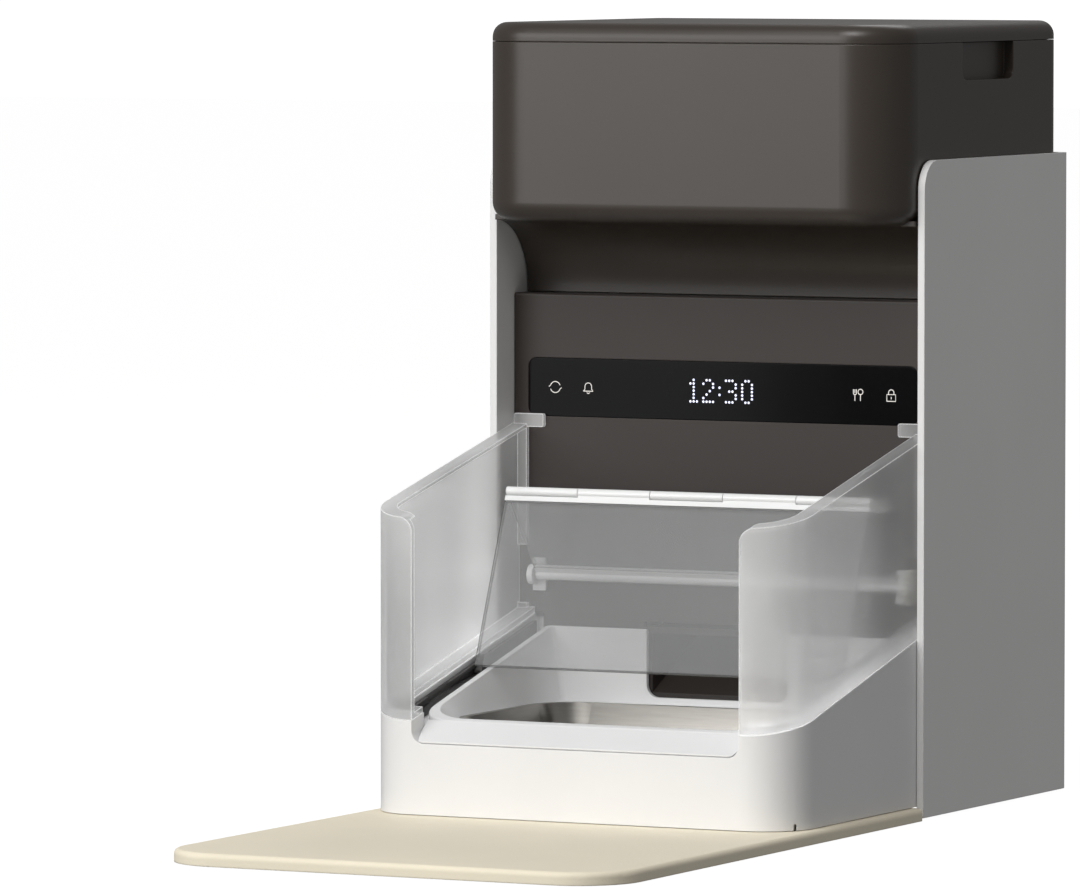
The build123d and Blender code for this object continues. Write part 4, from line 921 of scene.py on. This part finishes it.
@dataclass
class Display(Assembly):
    """Front panel with its dark window, clock digits, touch symbols and boards."""

    nodes: tuple[str, ...] = ("front_panel", "display_window", "display_board", "main_board")
    reading: str = "12:30"
    pitch: float = 1.72 * MM
    dot: float = 0.62 * MM
    rise: float = 0.10 * MM
    stroke: float = 0.42 * MM
    places: tuple[float, float, float, float] = (-88.9 * MM, -71.1 * MM, 71.9 * MM, 89.6 * MM)
    digit_lamp: Lamp = Lamp("Lamp_cool", (0.80, 0.82, 1.0), 0.95)
    symbol_lamp: Lamp = Lamp("Lamp_warm", (0.78, 0.75, 0.70), 0.62)

    def blank(self) -> Drawing:
        """An empty drawing about the middle of the window."""
        low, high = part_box("display_window")
        return Drawing(Side.FRONT, (0.0, low.y, (low.z + high.z) / 2))

    def add_pieces(self) -> None:
        """Adds the digits and the four symbols on the window."""
        self.add_digits()
        refresh, bell, cutlery, lock = self.places
        self.add_symbol("Symbol_refresh", self.refresh_lines(refresh))
        self.add_symbol("Symbol_bell", self.bell_lines(bell))
        self.add_symbol("Symbol_cutlery", self.cutlery_lines(cutlery))
        self.add_symbol("Symbol_lock", self.lock_lines(lock))

    def add_digits(self) -> None:
        """Adds the clock reading as lit dots."""
        drawing = self.blank()
        column = -(sum(len(DIGITS[c][0]) + 1 for c in self.reading) - 2) / 2
        for character in self.reading:
            rows = DIGITS[character]
            for r, row in enumerate(rows):
                for c, lit in enumerate(row):
                    if lit == "1":
                        drawing.dot((column + c) * self.pitch, (3 - r) * self.pitch, self.dot, self.rise)
            column += len(rows[0]) + 1
        drawing.piece("Display_digits", self.shop.material(self.digit_lamp), self.body, "display_black")

    def add_symbol(self, name: str, lines: Sequence[Sequence[Flat]]) -> None:
        """Adds one symbol made of lit lines.

        Args:
            name: the piece's name.
            lines: the points of each line.
        """
        drawing = self.blank()
        for points in lines:
            drawing.stroke(points, self.stroke, self.rise)
        drawing.piece(name, self.shop.material(self.symbol_lamp), self.body, "display_black")

    @staticmethod
    def refresh_lines(u: float) -> list[list[Flat]]:
        """Two arcs with hooked ends that chase each other.

        Args:
            u: the symbol's middle.

        Returns:
            The points of each line.
        """
        return [
            arc((u, 0.0), 2.7 * MM, 20, 160) + [(u - 3.4 * MM, 0.2 * MM)],
            arc((u, 0.0), 2.7 * MM, 200, 340) + [(u + 3.4 * MM, -0.2 * MM)],
        ]

    @staticmethod
    def bell_lines(u: float) -> list[list[Flat]]:
        """A bell with its clapper.

        Args:
            u: the symbol's middle.

        Returns:
            The points of each line.
        """
        left, right = u - 1.8 * MM, u + 1.8 * MM
        rim = -1.6 * MM
        outline = [(u - 2.6 * MM, rim), (left, -0.6 * MM)] + arc((u, 0.6 * MM), 1.8 * MM, 180, 0)
        outline += [(right, -0.6 * MM), (u + 2.6 * MM, rim), (u - 2.6 * MM, rim)]
        return [outline, arc((u, -1.9 * MM), 0.8 * MM, 200, 340)]

    @staticmethod
    def cutlery_lines(u: float) -> list[list[Flat]]:
        """A fork beside a spoon.

        Args:
            u: the symbol's middle.

        Returns:
            The points of each line.
        """
        fork, spoon = u - 1.3 * MM, u + 1.6 * MM
        tines = (fork - 0.8 * MM, fork, fork + 0.8 * MM)
        return [[(tine, 2.7 * MM), (tine, 0.9 * MM)] for tine in tines] + [
            arc((fork, 0.9 * MM), 0.8 * MM, 180, 360),
            [(fork, 0.2 * MM), (fork, -2.8 * MM)],
            [(spoon, -2.8 * MM), (spoon, 0.1 * MM)],
            arc((spoon, 1.5 * MM), 1.3 * MM, -90, 270, 14),
        ]

    @staticmethod
    def lock_lines(u: float) -> list[list[Flat]]:
        """A closed padlock.

        Args:
            u: the symbol's middle.

        Returns:
            The points of each line.
        """
        half, low, top = 2.3 * MM, -2.6 * MM, 0.6 * MM
        block = [(u - half, low), (u + half, low), (u + half, top), (u - half, top), (u - half, low)]
        shackle = [(u + 1.4 * MM, top)] + arc((u, 1.5 * MM), 1.4 * MM, 0, 180) + [(u - 1.4 * MM, top)]
        return [block, shackle, [(u, -0.5 * MM), (u, -1.6 * MM)]]


# ---- studio --------------------------------------------------------------------------------------
@dataclass(frozen=True)
class SoftBox:
    """Rectangular area light."""

    name: str
    place: Point
    target: Point
    size: Flat
    power: float

    def build(self) -> None:
        """Adds the light and aims it."""
        data = bpy.data.lights.new(self.name, "AREA")
        data.shape = "RECTANGLE"
        data.size, data.size_y = self.size
        data.energy = self.power
        light = bpy.data.objects.new(self.name, data)
        light.location = self.place
        aim = Vector(self.target) - Vector(self.place)
        light.rotation_euler = aim.to_track_quat("-Z", "Y").to_euler()
        bpy.context.scene.collection.objects.link(light)


@dataclass(frozen=True)
class Studio:
    """Pale floor, white surround, soft lights and the camera."""

    camera_place: Point = (1.9033, -3.8665, 0.4338)
    azimuth: float = 26.77
    pitch: float = 3.40
    focal_px: float = 9190.0
    frame_px: int = 1080
    sensor: float = 36.0
    surround: float = 1.08
    ambient: float = 0.225
    gloss: float = 0.22
    floor_light: float = 0.10
    floor_colour: Colour = (0.95, 0.95, 0.95)
    floor_half: float = 14.0
    floor_drop: float = 0.5 * MM
    clip_end: float = 60.0
    lights: tuple[SoftBox, ...] = (
        SoftBox("Key", (0.0, -1.85, 2.30), (0.0, 0.0, 0.15), (1.4, 1.2), 44.0),
        SoftBox("Front_card", (-1.10, -2.00, 0.82), (0.0, 0.0, 0.28), (1.6, 1.3), 23.0),
        SoftBox("Low_strip", (-1.12, -1.85, 0.05), (0.0, 0.1, 0.2), (0.4, 0.5), 0.8),
        SoftBox("Back_card", (-0.25, 1.90, 2.20), (0.0, 0.1, 0.2), (1.3, 1.1), 13.0),
    )

    def build(self) -> None:
        """Builds floor, world, lights and camera."""
        self.add_floor()
        self.add_world()
        for light in self.lights:
            light.build()
        self.add_camera()
        view = bpy.context.scene.view_settings
        view.view_transform = "Standard"
        view.look = "None"

    def add_floor(self) -> None:
        """Adds a wide pale floor that shows only a faint shadow."""
        mesh = bmesh.new()
        bmesh.ops.create_grid(mesh, x_segments=4, y_segments=4, size=self.floor_half)
        data = bpy.data.meshes.new("Floor")
        mesh.to_mesh(data)
        mesh.free()
        floor = bpy.data.objects.new("Floor", data)
        floor.location.z = -self.floor_drop
        bpy.context.scene.collection.objects.link(floor)
        material, g = new_material("Floor_pale")
        glow = g.node("ShaderNodeEmission", None, {"Color": WHITE, "Strength": self.surround})
        matt = g.node("ShaderNodeBsdfDiffuse", None, {"Color": self.floor_colour})
        shaders = {0: self.floor_light, 1: Wire(g, glow.outputs[0]), 2: Wire(g, matt.outputs[0])}
        g.show(g.node("ShaderNodeMixShader", None, shaders))
        data.materials.append(material)
        floor.visible_diffuse = False
        floor.visible_glossy = False

    def add_world(self) -> None:
        """Adds a surround that is white to look at and gives a weaker even light."""
        world = bpy.data.worlds.new("Surround")
        world.use_nodes = True
        g = Graph(world.node_tree)
        path = g.node("ShaderNodeLightPath")
        seen = Wire(g, path.outputs["Is Camera Ray"]).at_least(Wire(g, path.outputs["Is Transmission Ray"]))
        mirrored = Wire(g, path.outputs["Is Glossy Ray"])
        strength = self.ambient + seen * (self.surround - self.ambient)
        strength += mirrored * (self.gloss - self.ambient)
        back = g.node("ShaderNodeBackground", None, {"Color": WHITE, "Strength": strength})
        g.show(back, "ShaderNodeOutputWorld")
        bpy.context.scene.world = world

    def add_camera(self) -> None:
        """Adds the camera."""
        data = bpy.data.cameras.new("Camera")
        data.sensor_width = self.sensor
        data.lens = self.focal_px * self.sensor / self.frame_px
        data.clip_end = self.clip_end
        camera = bpy.data.objects.new("Camera", data)
        camera.location = self.camera_place
        camera.rotation_euler = (math.radians(90 - self.pitch), 0.0, math.radians(self.azimuth))
        bpy.context.scene.collection.objects.link(camera)
        bpy.context.scene.camera = camera


def main() -> None:
    """Dresses every sub-assembly, then builds the studio."""
    logging.basicConfig(level=logging.INFO, format="%(name)s: %(message)s")
    shop = Paintshop({row["node"]: row["material_slot"] for row in frame["record"]["subparts"]})
    for kind in (FloorMat, Foot, Casing, Hopper, Guards, Cover, Tray, DosingUnit, Display):
        kind(shop).build()
    Studio().build()


if __name__ == "__main__":
    main()
